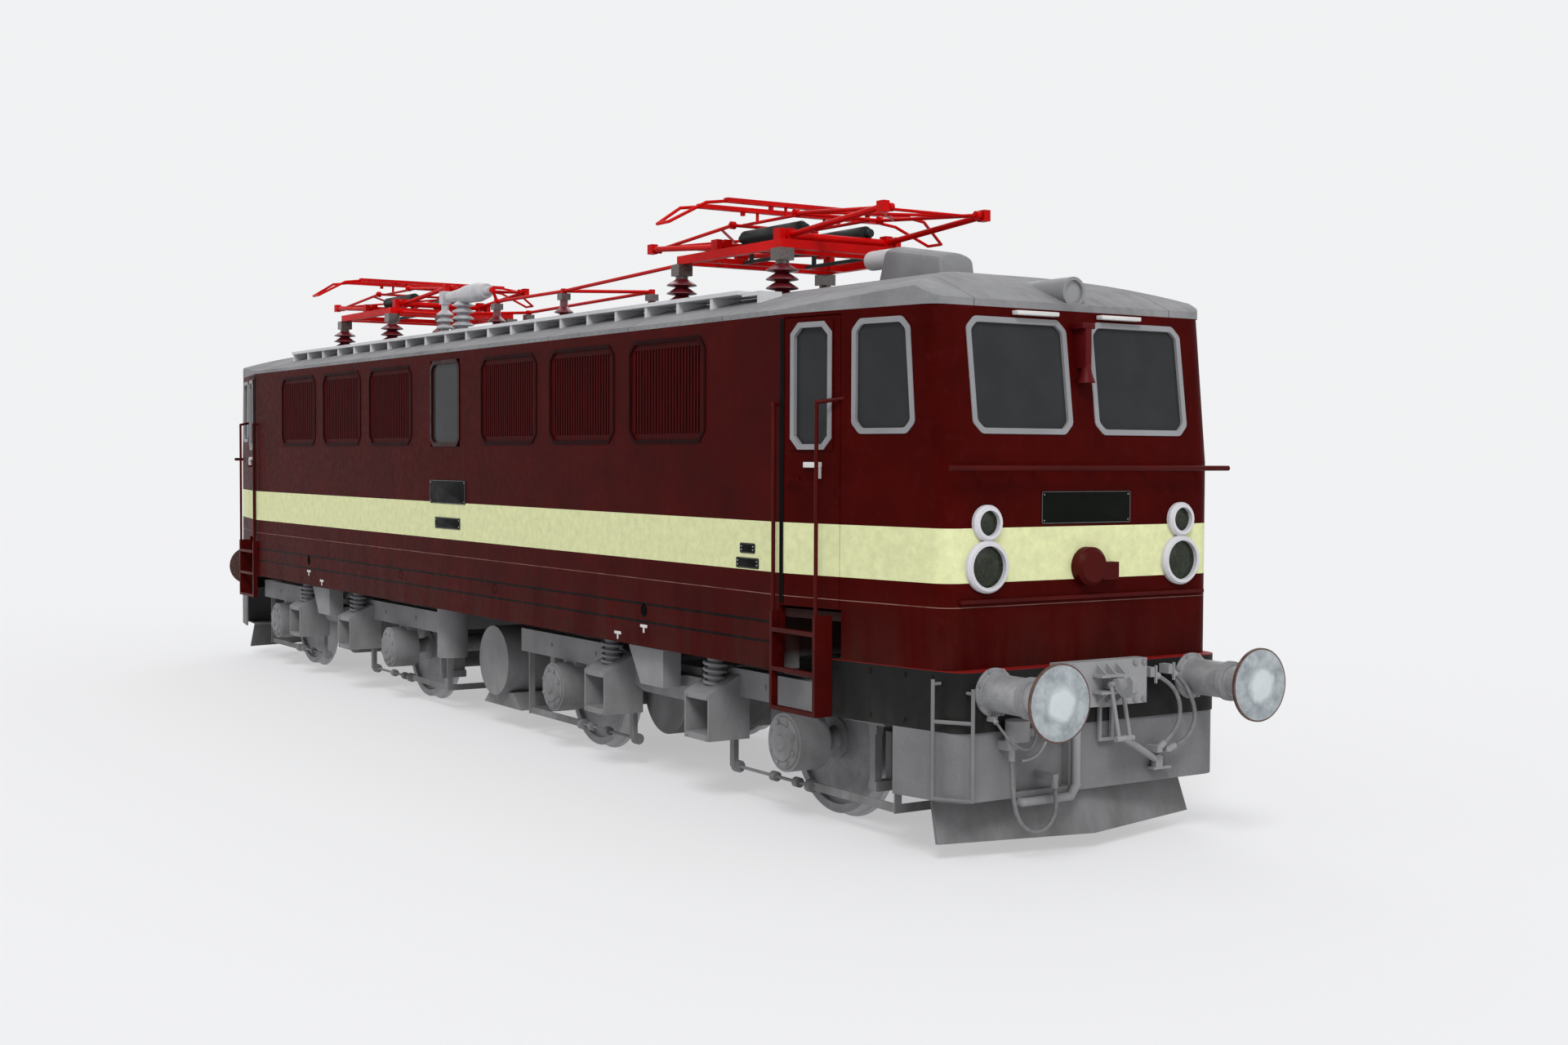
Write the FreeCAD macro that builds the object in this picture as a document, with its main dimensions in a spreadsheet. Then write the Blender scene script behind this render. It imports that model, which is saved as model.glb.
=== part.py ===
"""Four-axle electric locomotive, built as separate pieces with real joints.

Frame: millimetres, +X towards the front cab, +Y to its left, +Z up. The origin is the middle of
the locomotive in plan, at the level of the wheel flange tips on which it stands.
"""
import FreeCAD
import Part
import Sketcher
import math
import os
from types import SimpleNamespace

os.makedirs("parts", exist_ok=True)
doc = FreeCAD.newDocument("locomotive")
V = FreeCAD.Vector

# ---------------------------------------------------------------- driving sizes (alias, value)
SIZES = [
    # body sides
    ("half_width", 1455), ("wall", 45), ("skirt_low", 1120), ("eave", 3584), ("crown", 3915),
    ("side_end", 5862), ("fit_gap", 0.3), ("floor_top", 1560), ("floor_thick", 60),
    ("lift_x", 3930), ("lift_axis", 1403), ("lift_radius", 50),
    # tapered ends
    ("shoulder_x", 5900), ("nose_x", 7370), ("nose_half", 1171), ("nose_low", 1248),
    ("nose_lean", 130), ("nose_round", 150), ("waist", 2578),
    # roof
    ("roof_rim", 36), ("roof_skin_thick", 50), ("roof_fall_x", 6000), ("roof_fall_low", 3632),
    ("roof_fall_over", 12), ("roof_corner", 120),
    # louvre bays and side windows
    ("bay_pitch", 1424), ("bay_width", 1208), ("bay_low", 2688), ("bay_high", 3513),
    ("bay_depth", 30), ("bay_round", 90), ("bay_rim", 26), ("bay_rim_out", 7),
    ("bay_border", 16), ("slat_pitch", 46), ("slat_gap", 24), ("slat_depth", 18),
    ("mid_window_width", 707),
    # cab windows
    ("front_pane_y", 525), ("front_pane_width", 850), ("front_pane_height", 766),
    ("pane_low", 2758), ("pane_high", 3518), ("side_pane_x", 6820), ("side_pane_width", 560),
    ("side_pane_skew", 46), ("pane_rim", 38), ("pane_thick", 8), ("pane_set", 14),
    ("rim_depth", 40), ("rim_out", 8), ("pane_cut", 70), ("pane_round", 50),
    # doors
    ("door_start", 5917), ("door_end", 6437), ("door_low", 1582), ("door_high", 3552),
    ("door_thick", 40), ("door_gap", 7), ("door_pane_low", 2660), ("door_pane_high", 3511),
    ("door_pane_width", 380), ("door_rim", 14), ("hinge_off", 16), ("hinge_radius", 10),
    ("hinge_length", 80), ("hinge_inset", 260), ("handle_height", 2450), ("handle_x", 70),
    ("handle_length", 140), ("handle_reach", 50), ("handle_thick", 20),
    # entry wells, ladders and handrails
    ("well_depth", 300), ("well_margin", 20), ("ladder_start", 5820), ("ladder_end", 6380),
    ("ladder_low", 858), ("ladder_face", 1488), ("stile_thick", 30), ("rung_low", 858),
    ("rung_pitch", 270), ("rung_thick", 30), ("tread_depth", 40), ("rail_radius", 14),
    ("rail_inset", 18), ("rail_top", 2983), ("rail_off", 1490), ("grab_height", 2538),
    ("grab_reach", 100), ("grab_half", 1230), ("grab_radius", 18), ("grab_pitch", 490),
    ("ledge_low", 1673), ("ledge_high", 1697), ("ledge_half", 1080), ("ledge_out", 30),
    # bands, aprons and ploughs
    ("band_start", 6330), ("band_low", 858), ("band_tip", 7485), ("end_plate", 20),
    ("apron_start", 6920), ("apron_tip", 7470), ("apron_low", 413), ("recess_near", 675),
    ("recess_far", 225), ("recess_low", 450), ("recess_high", 800), ("recess_set", 70),
    ("plough_low", 113), ("plough_top_x", 7384), ("plough_tip_x", 7484),
    ("plough_top_side", 7126), ("plough_side", 7227), ("plough_half", 1119), ("plough_thick", 25),
    # buffers
    ("buffer_face", 8130), ("buffer_y", 875), ("buffer_axis", 1111), ("buffer_head_radius", 245),
    ("buffer_head_thick", 38), ("buffer_dome", 1500), ("buffer_tube_radius", 122),
    ("buffer_tube_end", 7880), ("buffer_stem_radius", 104), ("buffer_neck_radius", 60),
    ("buffer_neck_x", 8050),
    # draw gear
    ("draw_plate_right", 410), ("draw_plate_left", 360), ("draw_plate_low", 973),
    ("draw_plate_high", 1274), ("draw_plate_out", 100), ("draw_axis", 1128), ("guide_half", 130),
    ("guide_out", 95), ("guide_gap", 90), ("guide_thick", 18), ("gusset_pitch", 85),
    ("gusset_thick", 10), ("hook_reach", 7850), ("hook_half", 24), ("link_radius", 14),
    ("link_low", 760), ("screw_radius", 24), ("stirrup_y", 75), ("stirrup_half", 65),
    ("stirrup_low", 727), ("stirrup_bar", 22),
    # pipes and fittings of the ends
    ("hose_radius", 15), ("cable_radius", 14), ("thin_cable_radius", 9), ("gland_length", 70),
    ("gland_over", 8), ("cock_half_y", 26), ("cock_half_z", 32), ("park_low", 625),
    ("park_high", 648), ("drum_y", 748), ("drum_radius", 80), ("drum_low", 800),
    ("drum_high", 934), ("pipe_radius", 30), ("pipe_y", 185), ("pipe_low", 385),
    ("small_pipe_radius", 10), ("step_radius", 13), ("step_side_x", 7320), ("step_front_y", 1096),
    ("step_off", 60), ("step_top", 1200), ("step_low", 440), ("step_rung", 932),
    # lamps and socket
    ("lamp_y", 860), ("small_lamp_axis", 2186), ("small_lamp_radius", 117),
    ("large_lamp_axis", 1905), ("large_lamp_radius", 170), ("lamp_ring", 35), ("lamp_out", 45),
    ("lens_out", 22), ("top_lamp_axis", 3718), ("top_lamp_radius", 100), ("top_lamp_back", 140),
    ("top_lamp_length", 700), ("socket_radius", 130), ("socket_axis", 1885), ("socket_out", 90),
    # roof gear
    ("walk_start", -5200), ("walk_end", 4920), ("walk_inner", 950), ("walk_outer", 1220),
    ("walk_top", 3828), ("walk_thick", 30), ("walk_post_pitch", 510), ("walk_post", 40),
    ("walk_step_end", 5170), ("walk_step_drop", 15), ("hood_start", 5000), ("hood_end", 6190),
    ("hood_half", 330), ("hood_top", 4196), ("hood_round", 60), ("stub_radius", 62),
    ("stub_axis", 4118), ("stub_start", 4905), ("shed_radius", 125), ("core_radius", 52),
    ("sheds_low", 3800), ("shed_pitch", 68), ("shed_drop", 30), ("cap_radius", 46),
    ("cap_half", 65), ("collar", 4094), ("small_scale", 0.72), ("bar_axis", 4150),
    ("bar_radius", 16), ("bar_clamp", 23), ("breaker_y", 700), ("breaker_thin_x", -1780),
    ("breaker_thick_x", -1310), ("breaker_thin_top", 4332), ("breaker_axis", 4262), ("breaker_bulb", 92),
    ("breaker_neck", 55), ("breaker_start", -1640), ("breaker_end", -620),
    # pantographs
    ("panto_x", 4000), ("panto_post_x", 760), ("panto_post_y", 720), ("frame_low", 4188),
    ("frame_high", 4258), ("frame_beam", 60), ("shaft_x", 470), ("shaft_axis", 4328),
    ("shaft_radius", 32), ("shaft_half", 520), ("bearing_y", 560), ("bearing_half", 25),
    ("arm_y", 470), ("arm_radius", 24), ("upper_arm_y", 405), ("upper_radius", 15),
    ("knuckle_x", 1705), ("knuckle_axis", 4418), ("knuckle_half", 42), ("pin_radius", 14),
    ("pin_gap", 0.1), ("open_pin_gap", 3), ("eye_radius", 32), ("eye_half", 20),
    ("strip_x", 210), ("strip_top", 4618), ("strip_thick", 36), ("strip_width", 60),
    ("strip_flat", 890), ("horn_tip_y", 1330), ("horn_tip", 4414), ("horn_bend_y", 1060),
    ("horn_bend", 4570), ("horn_tip_x", 90), ("horn_radius", 13), ("head_tube_y", 330),
    ("stub_y", 470), ("stub_drop", 90), ("spring_cylinder_y", 205),
    ("spring_cylinder_radius", 52), ("spring_cylinder_axis", 4376),
    # wheelsets
    ("bogie_x", 3800), ("axle_x", 1850), ("rail_level", 28), ("wheel_radius", 550),
    ("axle_axis", 578), ("wheel_back", 680), ("wheel_face", 820), ("rim_depth_in", 70),
    ("hub_radius", 150), ("axle_radius", 90), ("journal_radius", 75), ("journal_end", 1180),
    ("flange_thick", 32),
    # bogie frames
    ("frame_y", 1000), ("frame_thick", 110), ("frame_half", 2830), ("frame_bottom", 800),
    ("frame_top", 1010), ("belly_low", 678), ("belly_top", 880), ("belly_half", 480),
    ("belly_slope", 420), ("box_radius", 210), ("box_inner", 1010), ("box_face", 1268),
    ("box_post", 240), ("transom_half", 280), ("end_beam", 100), ("spring_x", 830),
    ("spring_y", 1225), ("spring_radius", 60), ("spring_top", 1095), ("seat_half", 100),
    ("carrier_face", 1390), ("carrier_inner", 1030), ("carrier_low", 478),
    ("carrier_out_top", 830), ("carrier_in_top", 1008), ("carrier_half", 180),
    ("carrier_plate", 18), ("carrier_edge", 46), ("pivot_radius", 150), ("pivot_gap", 0.3),
    ("pivot_low", 820), ("motor_x", 1020), ("motor_radius", 380), ("motor_half", 600),
    ("motor_rise", 20), ("motor_nose", 560),
    # brake rigging and sand boxes on the bogies
    ("guard_low", 208), ("guard_high", 268), ("guard_thick", 14), ("guard_bar_end", 1800),
    ("rod_axis", 236), ("rod_radius", 12), ("rod_end", 800), ("knob_radius", 46),
    ("knob_half", 30), ("hanger_x", 2445), ("hanger_wide", 90), ("hanger_y", 930),
    ("hanger_half", 30), ("hanger_low", 300), ("shoe_half", 60), ("shoe_high", 700),
    ("sand_start", -310), ("sand_foot", -110), ("sand_end", 250), ("sand_low", 797),
    ("sand_high", 1094), ("sand_face", 1350), ("sand_back", 1190),
    # underframe
    ("sill_y", 600), ("sill_low", 1200), ("sill_wide", 90), ("sill_half", 7280),
    ("cross_pitch", 1900), ("cross_wide", 80), ("bolster_half", 700), ("bolster_wide", 750),
    ("bolster_low", 1120), ("head_wide", 1010), ("head_low", 1010), ("head_thick", 70),
    ("pad_x", 5700), ("pad_y", 1310), ("pad_half", 80),
    # tanks
    ("tank_x", 330), ("tank_axis", 648), ("tank_radius", 330), ("tank_half", 1100),
    ("tank_hanger", 100), ("cradle_low", 205), ("cradle_high", 350), ("cradle_half", 420),
    ("upright_x", -660), ("upright_y", 1100), ("upright_radius", 150), ("upright_low", 588),
    # inside
    ("bulkhead_gap", 160), ("bulkhead_thick", 40), ("transformer_half_x", 1300),
    ("transformer_half_y", 950), ("transformer_top", 3100), ("desk_start", 6790),
    ("desk_depth", 420), ("desk_half", 950), ("desk_top", 2440), ("desk_thick", 60),
    ("console_high", 2640), ("console_start", 7010), ("console_depth", 140),
    ("pedestal_start", 6900), ("pedestal_depth", 300), ("seat_x", 6330), ("seat_y", 520),
    ("seat_size", 230), ("seat_high", 440), ("seat_thick", 90), ("back_high", 560),
]
SIDES = (("right", -1), ("left", 1))
ENDS = (("front", 1), ("rear", -1))


class Size(float):
    """A number that remembers the formula it comes from, so that a property can be bound to it."""

    def __new__(cls, value, text):
        item = float.__new__(cls, value)
        item.text = text
        return item

    def __add__(self, other):
        return Size(float(self) + float(other), "(%s + %s)" % (self.text, words(other)))

    def __radd__(self, other):
        return Size(float(other) + float(self), "(%s + %s)" % (words(other), self.text))

    def __sub__(self, other):
        return Size(float(self) - float(other), "(%s - %s)" % (self.text, words(other)))

    def __rsub__(self, other):
        return Size(float(other) - float(self), "(%s - %s)" % (words(other), self.text))

    def __mul__(self, other):
        return Size(float(self) * float(other), "(%s * %s)" % (self.text, words(other)))

    def __rmul__(self, other):
        return Size(float(other) * float(self), "(%s * %s)" % (words(other), self.text))

    def __truediv__(self, other):
        return Size(float(self) / float(other), "(%s / %s)" % (self.text, words(other)))

    def __neg__(self):
        return -1 * self


def words(number):
    """The formula of a size, or a plain number as text."""
    return number.text if isinstance(number, Size) else "%.9g" % number


sheet = doc.addObject("Spreadsheet::Sheet", "Sizes")
for row, (alias, value) in enumerate(SIZES, start=1):
    sheet.set("A%d" % row, alias)
    sheet.set("B%d" % row, str(value))
    sheet.setAlias("B%d" % row, alias)
doc.recompute()
S = SimpleNamespace(**{alias: Size(sheet.get(alias), "Sizes." + alias) for alias, _ in SIZES})


# ---------------------------------------------------------------- bound primitives
def bind(item, prop, number):
    """Bind a property to the formula of a size."""
    item.setExpression(prop, words(number))


def box(name, x, y, z):
    """A box between limits; each of x, y and z is a pair in any order."""
    item = doc.addObject("Part::Box", name)
    for prop, axis, pair in (("Length", "x", x), ("Width", "y", y), ("Height", "z", z)):
        low, high = sorted(pair)
        bind(item, prop, high - low)
        bind(item, "Placement.Base." + axis, low)
    return item


TURN = {"x": FreeCAD.Rotation(V(0, 1, 0), 90), "y": FreeCAD.Rotation(V(1, 0, 0), -90),
        "z": FreeCAD.Rotation()}


def rod(name, axis, radius, ends, first, second):
    """A cylinder along an axis between two ends; first and second are its other coordinates."""
    item = doc.addObject("Part::Cylinder", name)
    item.Placement = FreeCAD.Placement(V(), TURN[axis])
    low, high = sorted(ends)
    others = [word for word in "xyz" if word != axis]
    bind(item, "Radius", radius)
    bind(item, "Height", high - low)
    for word, number in ((axis, low), (others[0], first), (others[1], second)):
        bind(item, "Placement.Base." + word, number)
    return item


def bar(name, start, end, radius):
    """A round bar between two points."""
    item = doc.addObject("Part::Cylinder", name)
    way = V(*end) - V(*start)
    item.Placement = FreeCAD.Placement(V(*start), FreeCAD.Rotation(V(0, 0, 1), way))
    bind(item, "Radius", radius)
    item.Height = way.Length
    return item


def ball(name, centre, radius):
    item = doc.addObject("Part::Sphere", name)
    item.Placement = FreeCAD.Placement(V(*centre), FreeCAD.Rotation())
    bind(item, "Radius", radius)
    return item


def outline_sketch(body, name, plane, points):
    """A closed outline on one of a body's base planes, each corner held by two formulas."""
    sketch = body.newObject("Sketcher::SketchObject", name)
    face = next(item for item in body.Origin.OriginFeatures if item.Role == plane)
    sketch.AttachmentSupport = [(face, "")]
    sketch.MapMode = "FlatFace"
    flat = [V(float(u), float(v), 0) for u, v in points]
    for start, end in zip(flat, flat[1:] + flat[:1]):
        sketch.addGeometry(Part.LineSegment(start, end))
    for place in range(len(points)):
        after = (place + 1) % len(points)
        sketch.addConstraint(Sketcher.Constraint("Coincident", place, 2, after, 1))
    for place, point in enumerate(points):
        for kind, number, axis in (("DistanceX", point[0], -2), ("DistanceY", point[1], -1)):
            if float(number) == 0:
                sketch.addConstraint(Sketcher.Constraint("PointOnObject", place, 1, axis))
            else:
                held = Sketcher.Constraint(kind, -1, 1, place, 1, float(number))
                bind(sketch, "Constraints[%d]" % sketch.addConstraint(held), number)
    return sketch


def pad(name, axis, points, ends):
    """An outline in the plane across an axis, filled from one end to the other along it."""
    body = doc.addObject("PartDesign::Body", name)
    plane = {"x": "YZ_Plane", "y": "XZ_Plane", "z": "XY_Plane"}[axis]
    sketch = outline_sketch(body, name + "_outline", plane, points)
    low, high = sorted(ends)
    bind(sketch, "AttachmentOffset.Base.z", -high if axis == "y" else low)
    feature = body.newObject("PartDesign::Pad", name + "_pad")
    feature.Profile = sketch
    bind(feature, "Length", high - low)
    body.Tip = feature
    return body


def spun(name, axis, profile, centre=(0, 0, 0)):
    """A profile of (along, radius) points turned about an axis through a centre."""
    body = doc.addObject("PartDesign::Body", name)
    plane = "YZ_Plane" if axis == "y" else "XZ_Plane"
    points = [(radius, along) for along, radius in profile] if axis == "z" else profile
    sketch = outline_sketch(body, name + "_profile", plane, points)
    feature = body.newObject("PartDesign::Revolution", name + "_turn")
    feature.Profile = sketch
    feature.ReferenceAxis = (sketch, ["V_Axis" if axis == "z" else "H_Axis"])
    feature.Angle = 360
    body.Tip = feature
    for word, number in zip("xyz", centre):
        bind(body, "Placement.Base." + word, number)
    return body


# ---------------------------------------------------------------- joining, cutting and repeating
def fuse(name, items):
    item = doc.addObject("Part::MultiFuse", name)
    item.Shapes = items
    item.Refine = True
    return item


def group(name, items):
    """Pieces of one node that don't touch."""
    item = doc.addObject("Part::Compound", name)
    item.Links = items
    return item


def cut(name, base, tools):
    item = doc.addObject("Part::Cut", name)
    item.Base = base
    item.Tool = tools[0] if len(tools) == 1 else group(name + "_cutters", tools)
    return item


def common(name, base, tool):
    item = doc.addObject("Part::Common", name)
    item.Base = base
    item.Tool = tool
    return item


def at(name, item, placement):
    """The same piece again, at another place."""
    link = doc.addObject("App::Link", name)
    link.LinkedObject = item
    link.LinkTransform = True
    link.Placement = placement
    return link


def moved(name, item, x=0, y=0, z=0):
    link = at(name, item, FreeCAD.Placement())
    for word, number in zip("xyz", (x, y, z)):
        bind(link, "Placement.Base." + word, number)
    return link


ABOUT = FreeCAD.Placement(V(), FreeCAD.Rotation(V(0, 0, 1), 180))


def turned(name, item):
    """The same piece at the other end of the locomotive."""
    return at(name, item, ABOUT)


def both_ends(name, item):
    return [item, turned(name + "_rear", item)]


def rounded(name, base, radius, chosen):
    """A piece with some of its edges rounded."""
    doc.recompute()
    item = doc.addObject("Part::Fillet", name)
    item.Base = base
    item.Edges = [(number, float(radius), float(radius))
                  for number, edge in enumerate(base.Shape.Edges, start=1) if chosen(edge)]
    return item


def along(way):
    """Picks straight edges in a direction."""
    def chosen(edge):
        return abs(abs(edge.tangentAt(edge.FirstParameter).dot(V(*way))) - 1) < 1e-6
    return chosen


def solid(name, shape):
    """A piece whose shape comes from Part's own functions."""
    item = doc.addObject("Part::Feature", name)
    item.Shape = shape
    return item


NODES = []


def node(name, item):
    item.Label = name
    NODES.append(item)
    return item


# ---------------------------------------------------------------- shared outlines
slope = (S.half_width - S.nose_half) / (S.nose_x - S.shoulder_x)
taper = math.degrees(math.atan(slope))
lean = math.degrees(math.atan(S.nose_lean / (S.eave - S.waist)))
shift_share = 1 / math.cos(math.radians(taper))
body_mid = (S.waist + S.eave) / 2


def side_y(x):
    """Half width of the body at a distance x from the middle."""
    return S.half_width - (x - S.shoulder_x) * slope if x > S.shoulder_x else S.half_width


def nose(name, inset, heights, start, tip):
    """The tapering end of the body as a solid, its outer faces moved in by inset."""
    shift = inset * shift_share
    end = tip - inset
    half = side_y(end) - shift
    points = [(end, -half), (end, half)]
    if start < S.shoulder_x:
        points += [(S.shoulder_x, S.half_width - shift), (start, S.half_width - shift),
                   (start, shift - S.half_width), (S.shoulder_x, shift - S.half_width)]
    else:
        points += [(start, side_y(start) - shift), (start, shift - side_y(start))]
    block = pad(name + "_block", "z", points, heights)
    if heights[1] > S.waist:
        over = box(name + "_over", (0, 4 * S.nose_lean), (-S.half_width, S.half_width),
                   (0, 2 * (S.eave - S.waist)))
        over.Placement = FreeCAD.Placement(V(end, -S.half_width, S.waist),
                                           FreeCAD.Rotation(V(0, 1, 0), -lean))
        for word in "xyz":
            over.setExpression("Placement.Base." + word, None)
        over.Placement.Base = V(end, -S.half_width, S.waist)
        block = cut(name + "_leaning", block, [over])

    def corner(edge):
        upright = abs(edge.tangentAt(edge.FirstParameter).z) > 0.9
        return upright and all(vertex.X > end - S.nose_lean - 60 for vertex in edge.Vertexes)
    return rounded(name, block, max(S.nose_round - inset, S.wall / 2), corner)


def roof_radius():
    rise = S.crown - S.eave - S.roof_rim
    return (S.half_width * S.half_width + rise * rise) / (2 * rise)


def roof_height(y):
    """Height of the roof's outer face at a distance y from the middle line."""
    return S.crown - roof_radius() + math.sqrt(roof_radius() ** 2 - y ** 2)


def roof_block(name, inset):
    """The roof above the eaves as a solid: a barrel that falls away at both ends."""
    ends = S.nose_x - S.nose_lean
    wide, half, tip = S.half_width - 2 * inset, side_y(ends) - 2 * inset, ends - 3 * inset
    base = S.eave - (S.wall / 4 if inset else 0)
    points = [(0, -wide), (S.shoulder_x, -wide), (tip, -half), (tip, half), (S.shoulder_x, wide),
              (0, wide)]
    block = pad(name + "_block", "z", points, (base, S.crown + S.nose_lean))
    block = rounded(name + "_cornered", block, S.roof_corner,
                    lambda edge: abs(edge.tangentAt(0).z) > 0.9
                    and abs(edge.Vertexes[0].X) > tip - 1)
    barrel = rod(name + "_barrel", "x", roof_radius() - inset, (-S.nose_lean, S.nose_x), 0,
                 S.crown - roof_radius())
    top = S.crown + S.roof_fall_over
    run, drop = ends - S.roof_fall_x, top - S.roof_fall_low
    fall = (run * run + drop * drop) / (2 * drop)
    beyond = box(name + "_beyond", (S.roof_fall_x, S.nose_x + S.roof_fall_x),
                 (-2 * S.half_width, 2 * S.half_width), (S.eave - S.wall, S.crown + S.nose_x))
    keep = rod(name + "_fall", "y", fall - inset, (-2 * S.half_width, 2 * S.half_width),
               S.roof_fall_x, top - fall)
    half_roof = cut(name + "_half", common(name + "_arched", block, barrel),
                    [cut(name + "_cutter", beyond, [keep])])
    return fuse(name, both_ends(name + "_half_of", half_roof))


roof_outer = roof_block("roof_outer", 0)


def above_roof(name, item):
    """Trim what stands on the roof to the roof's own curve."""
    return cut(name, item, [roof_outer])


def pane_points(width, height, skew, corner):
    """Window outline in its own plane: cut corners, the top narrower by skew towards +u."""
    w, t, c = width / 2, height / 2, corner
    top = w - skew if skew > 0 else w
    back = w + skew if skew < 0 else w
    return [(c - w, -t), (w - c, -t), (w, c - t), (top, t - c), (top - c, t), (c - back, t),
            (-back, t - c), (-w, c - t)]


def pane_pad(name, width, height, skew, corner, depths):
    body = pad(name + "_flat", "y", pane_points(width, height, skew, corner), depths)
    return rounded(name, body, min(S.pane_round, corner), along((0, 1, 0)))


def window_kind(name, width, height, skew):
    """Opening, frame and pane of one kind of window; the outer face of the wall is y = 0."""
    rim, gap, corner = S.pane_rim, S.fit_gap, S.pane_cut
    inner = corner * 0.7
    opening = pane_pad(name + "_opening", width + 2 * gap, height + 2 * gap, skew, corner,
                       (-S.wall, 3 * S.wall))
    hole = pane_pad(name + "_hole", width - 2 * rim, height - 2 * rim, skew, inner,
                    (-S.wall, 2 * S.wall))
    frame = cut(name + "_frame",
                pane_pad(name + "_rim", width, height, skew, corner, (-S.rim_out, S.rim_depth)),
                [hole])
    pane = pane_pad(name + "_pane", width - 2 * (rim + gap), height - 2 * (rim + gap), skew,
                    inner, (S.pane_set, S.pane_set + S.pane_thick))
    return opening, frame, pane


def wall_place(x, z, side):
    """Placement on the tapered side wall; local y points into the body."""
    angle = taper if side < 0 else 180 - taper
    return FreeCAD.Placement(V(x, side * side_y(x), z), FreeCAD.Rotation(V(0, 0, 1), angle))


def nose_place(y, z):
    x = S.nose_x - S.nose_lean * (z - S.waist) / (S.eave - S.waist)
    turn = FreeCAD.Rotation(V(0, 0, 1), 90).multiply(FreeCAD.Rotation(V(1, 0, 0), -lean))
    return FreeCAD.Placement(V(x, y, z), turn)


# ---------------------------------------------------------------- body sides
BAYS = (-3, -2, -1, 1, 2, 3)
for word, side in SIDES:
    depth = (side * (S.half_width - S.wall), side * S.half_width)
    through = (side * (S.half_width - 2 * S.wall), side * (S.half_width + S.wall))
    panel = box("side_panel_" + word, (-S.side_end, S.side_end), depth, (S.skirt_low, S.eave))
    holes = []
    for place in BAYS:
        reach = S.bay_width / 2 + S.fit_gap
        holes.append(box("bay_hole_%s_%d" % (word, place + 3),
                         (place * S.bay_pitch - reach, place * S.bay_pitch + reach), through,
                         (S.bay_low, S.bay_high)))
    for end_word, end in ENDS:
        holes.append(rod("lifting_hole_%s_%s" % (word, end_word), "y", S.lift_radius, through,
                         end * S.lift_x, S.lift_axis))
    reach = S.mid_window_width / 2 + S.fit_gap
    holes.append(box("middle_hole_" + word, (-reach, reach), through, (S.bay_low, S.bay_high)))
    node("side_wall_" + word, cut("side_" + word, panel, holes))

half_bay, bay_mid = S.bay_width / 2, (S.bay_low + S.bay_high) / 2
half_tall = (S.bay_high - S.bay_low) / 2 - S.fit_gap
plate = box("louvre_plate", (-half_bay, half_bay), (0, S.bay_depth), (-half_tall, half_tall))
ring_points = pane_points(2 * (half_bay - S.bay_border), 2 * (half_tall - S.bay_border), 0,
                          S.bay_round)
hole_points = pane_points(2 * (half_bay - S.bay_border - S.bay_rim),
                          2 * (half_tall - S.bay_border - S.bay_rim), 0, S.bay_round * 0.8)
ring = rounded("louvre_ring_round", pad("louvre_ring", "y", ring_points, (-S.bay_rim_out, 0)),
               S.bay_round * 0.6, along((0, 1, 0)))
hole = rounded("louvre_hole_round", pad("louvre_hole", "y", hole_points,
                                        (-2 * S.bay_rim_out, S.bay_rim_out)),
               S.bay_round * 0.5, along((0, 1, 0)))
field = half_bay - S.bay_border - S.bay_rim - S.bay_round / 2
count = int(2 * field // S.slat_pitch)
slots = []
for number in range(count):
    middle = (number - (count - 1) / 2) * S.slat_pitch
    slots.append(box("slat_gap_%d" % number, (middle - S.slat_gap / 2, middle + S.slat_gap / 2),
                     (0, S.slat_depth + S.bay_rim_out),
                     (S.bay_round / 2 + S.bay_border + S.bay_rim - half_tall,
                      half_tall - S.bay_border - S.bay_rim - S.bay_round / 2)))
louvre = cut("louvre", fuse("louvre_body", [plate, ring]), [hole] + slots)
louvres = []
for word, side in SIDES:
    for place in BAYS:
        turn = FreeCAD.Rotation(V(0, 0, 1), 0 if side < 0 else 180)
        spot = V(place * S.bay_pitch, side * S.half_width, bay_mid)
        louvres.append(at("louvre_%s_%d" % (word, place + 3), louvre,
                          FreeCAD.Placement(spot, turn)))
node("louvres", group("louvre_set", louvres))

# ---------------------------------------------------------------- windows
pane_middle = (S.pane_low + S.pane_high) / 2
front_kind = window_kind("front_window", S.front_pane_width, S.front_pane_height, 0)
side_kinds = {side: window_kind("cab_window_" + word, S.side_pane_width,
                                S.pane_high - S.pane_low, -side * S.side_pane_skew)
              for word, side in SIDES}
middle_kind = window_kind("middle_window", S.mid_window_width, 2 * half_tall, 0)
spots = []
for word, side in SIDES:
    spots.append((front_kind, "front_" + word, nose_place(side * S.front_pane_y, pane_middle)))
    spots.append((side_kinds[side], "cab_" + word, wall_place(S.side_pane_x, pane_middle, side)))
cab_openings = [at("opening_" + tag, kind[0], place) for kind, tag, place in spots]
frames, panes = [], []
for kind, tag, place in spots:
    frames += both_ends("frame_" + tag, at("frame_" + tag, kind[1], place))
    panes += both_ends("pane_" + tag, at("pane_" + tag, kind[2], place))
for word, side in SIDES:
    place = FreeCAD.Placement(V(0, side * S.half_width, bay_mid),
                              FreeCAD.Rotation(V(0, 0, 1), 0 if side < 0 else 180))
    frames.append(at("frame_middle_" + word, middle_kind[1], place))
    panes.append(at("pane_middle_" + word, middle_kind[2], place))
node("window_frames", group("window_frame_set", frames))
node("window_glass", group("window_pane_set", panes))

# ---------------------------------------------------------------- doors
door_width = (S.door_end - S.door_start) * shift_share
pane_start = (door_width - S.door_pane_width) / 2


def door_place(side):
    """Local frame of a door: origin at its rear edge on the outer face, x along the wall."""
    angle = taper if side < 0 else -taper
    return FreeCAD.Placement(V(S.door_start, side * side_y(S.door_start), 0),
                             FreeCAD.Rotation(V(0, 0, 1), angle))


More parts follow.
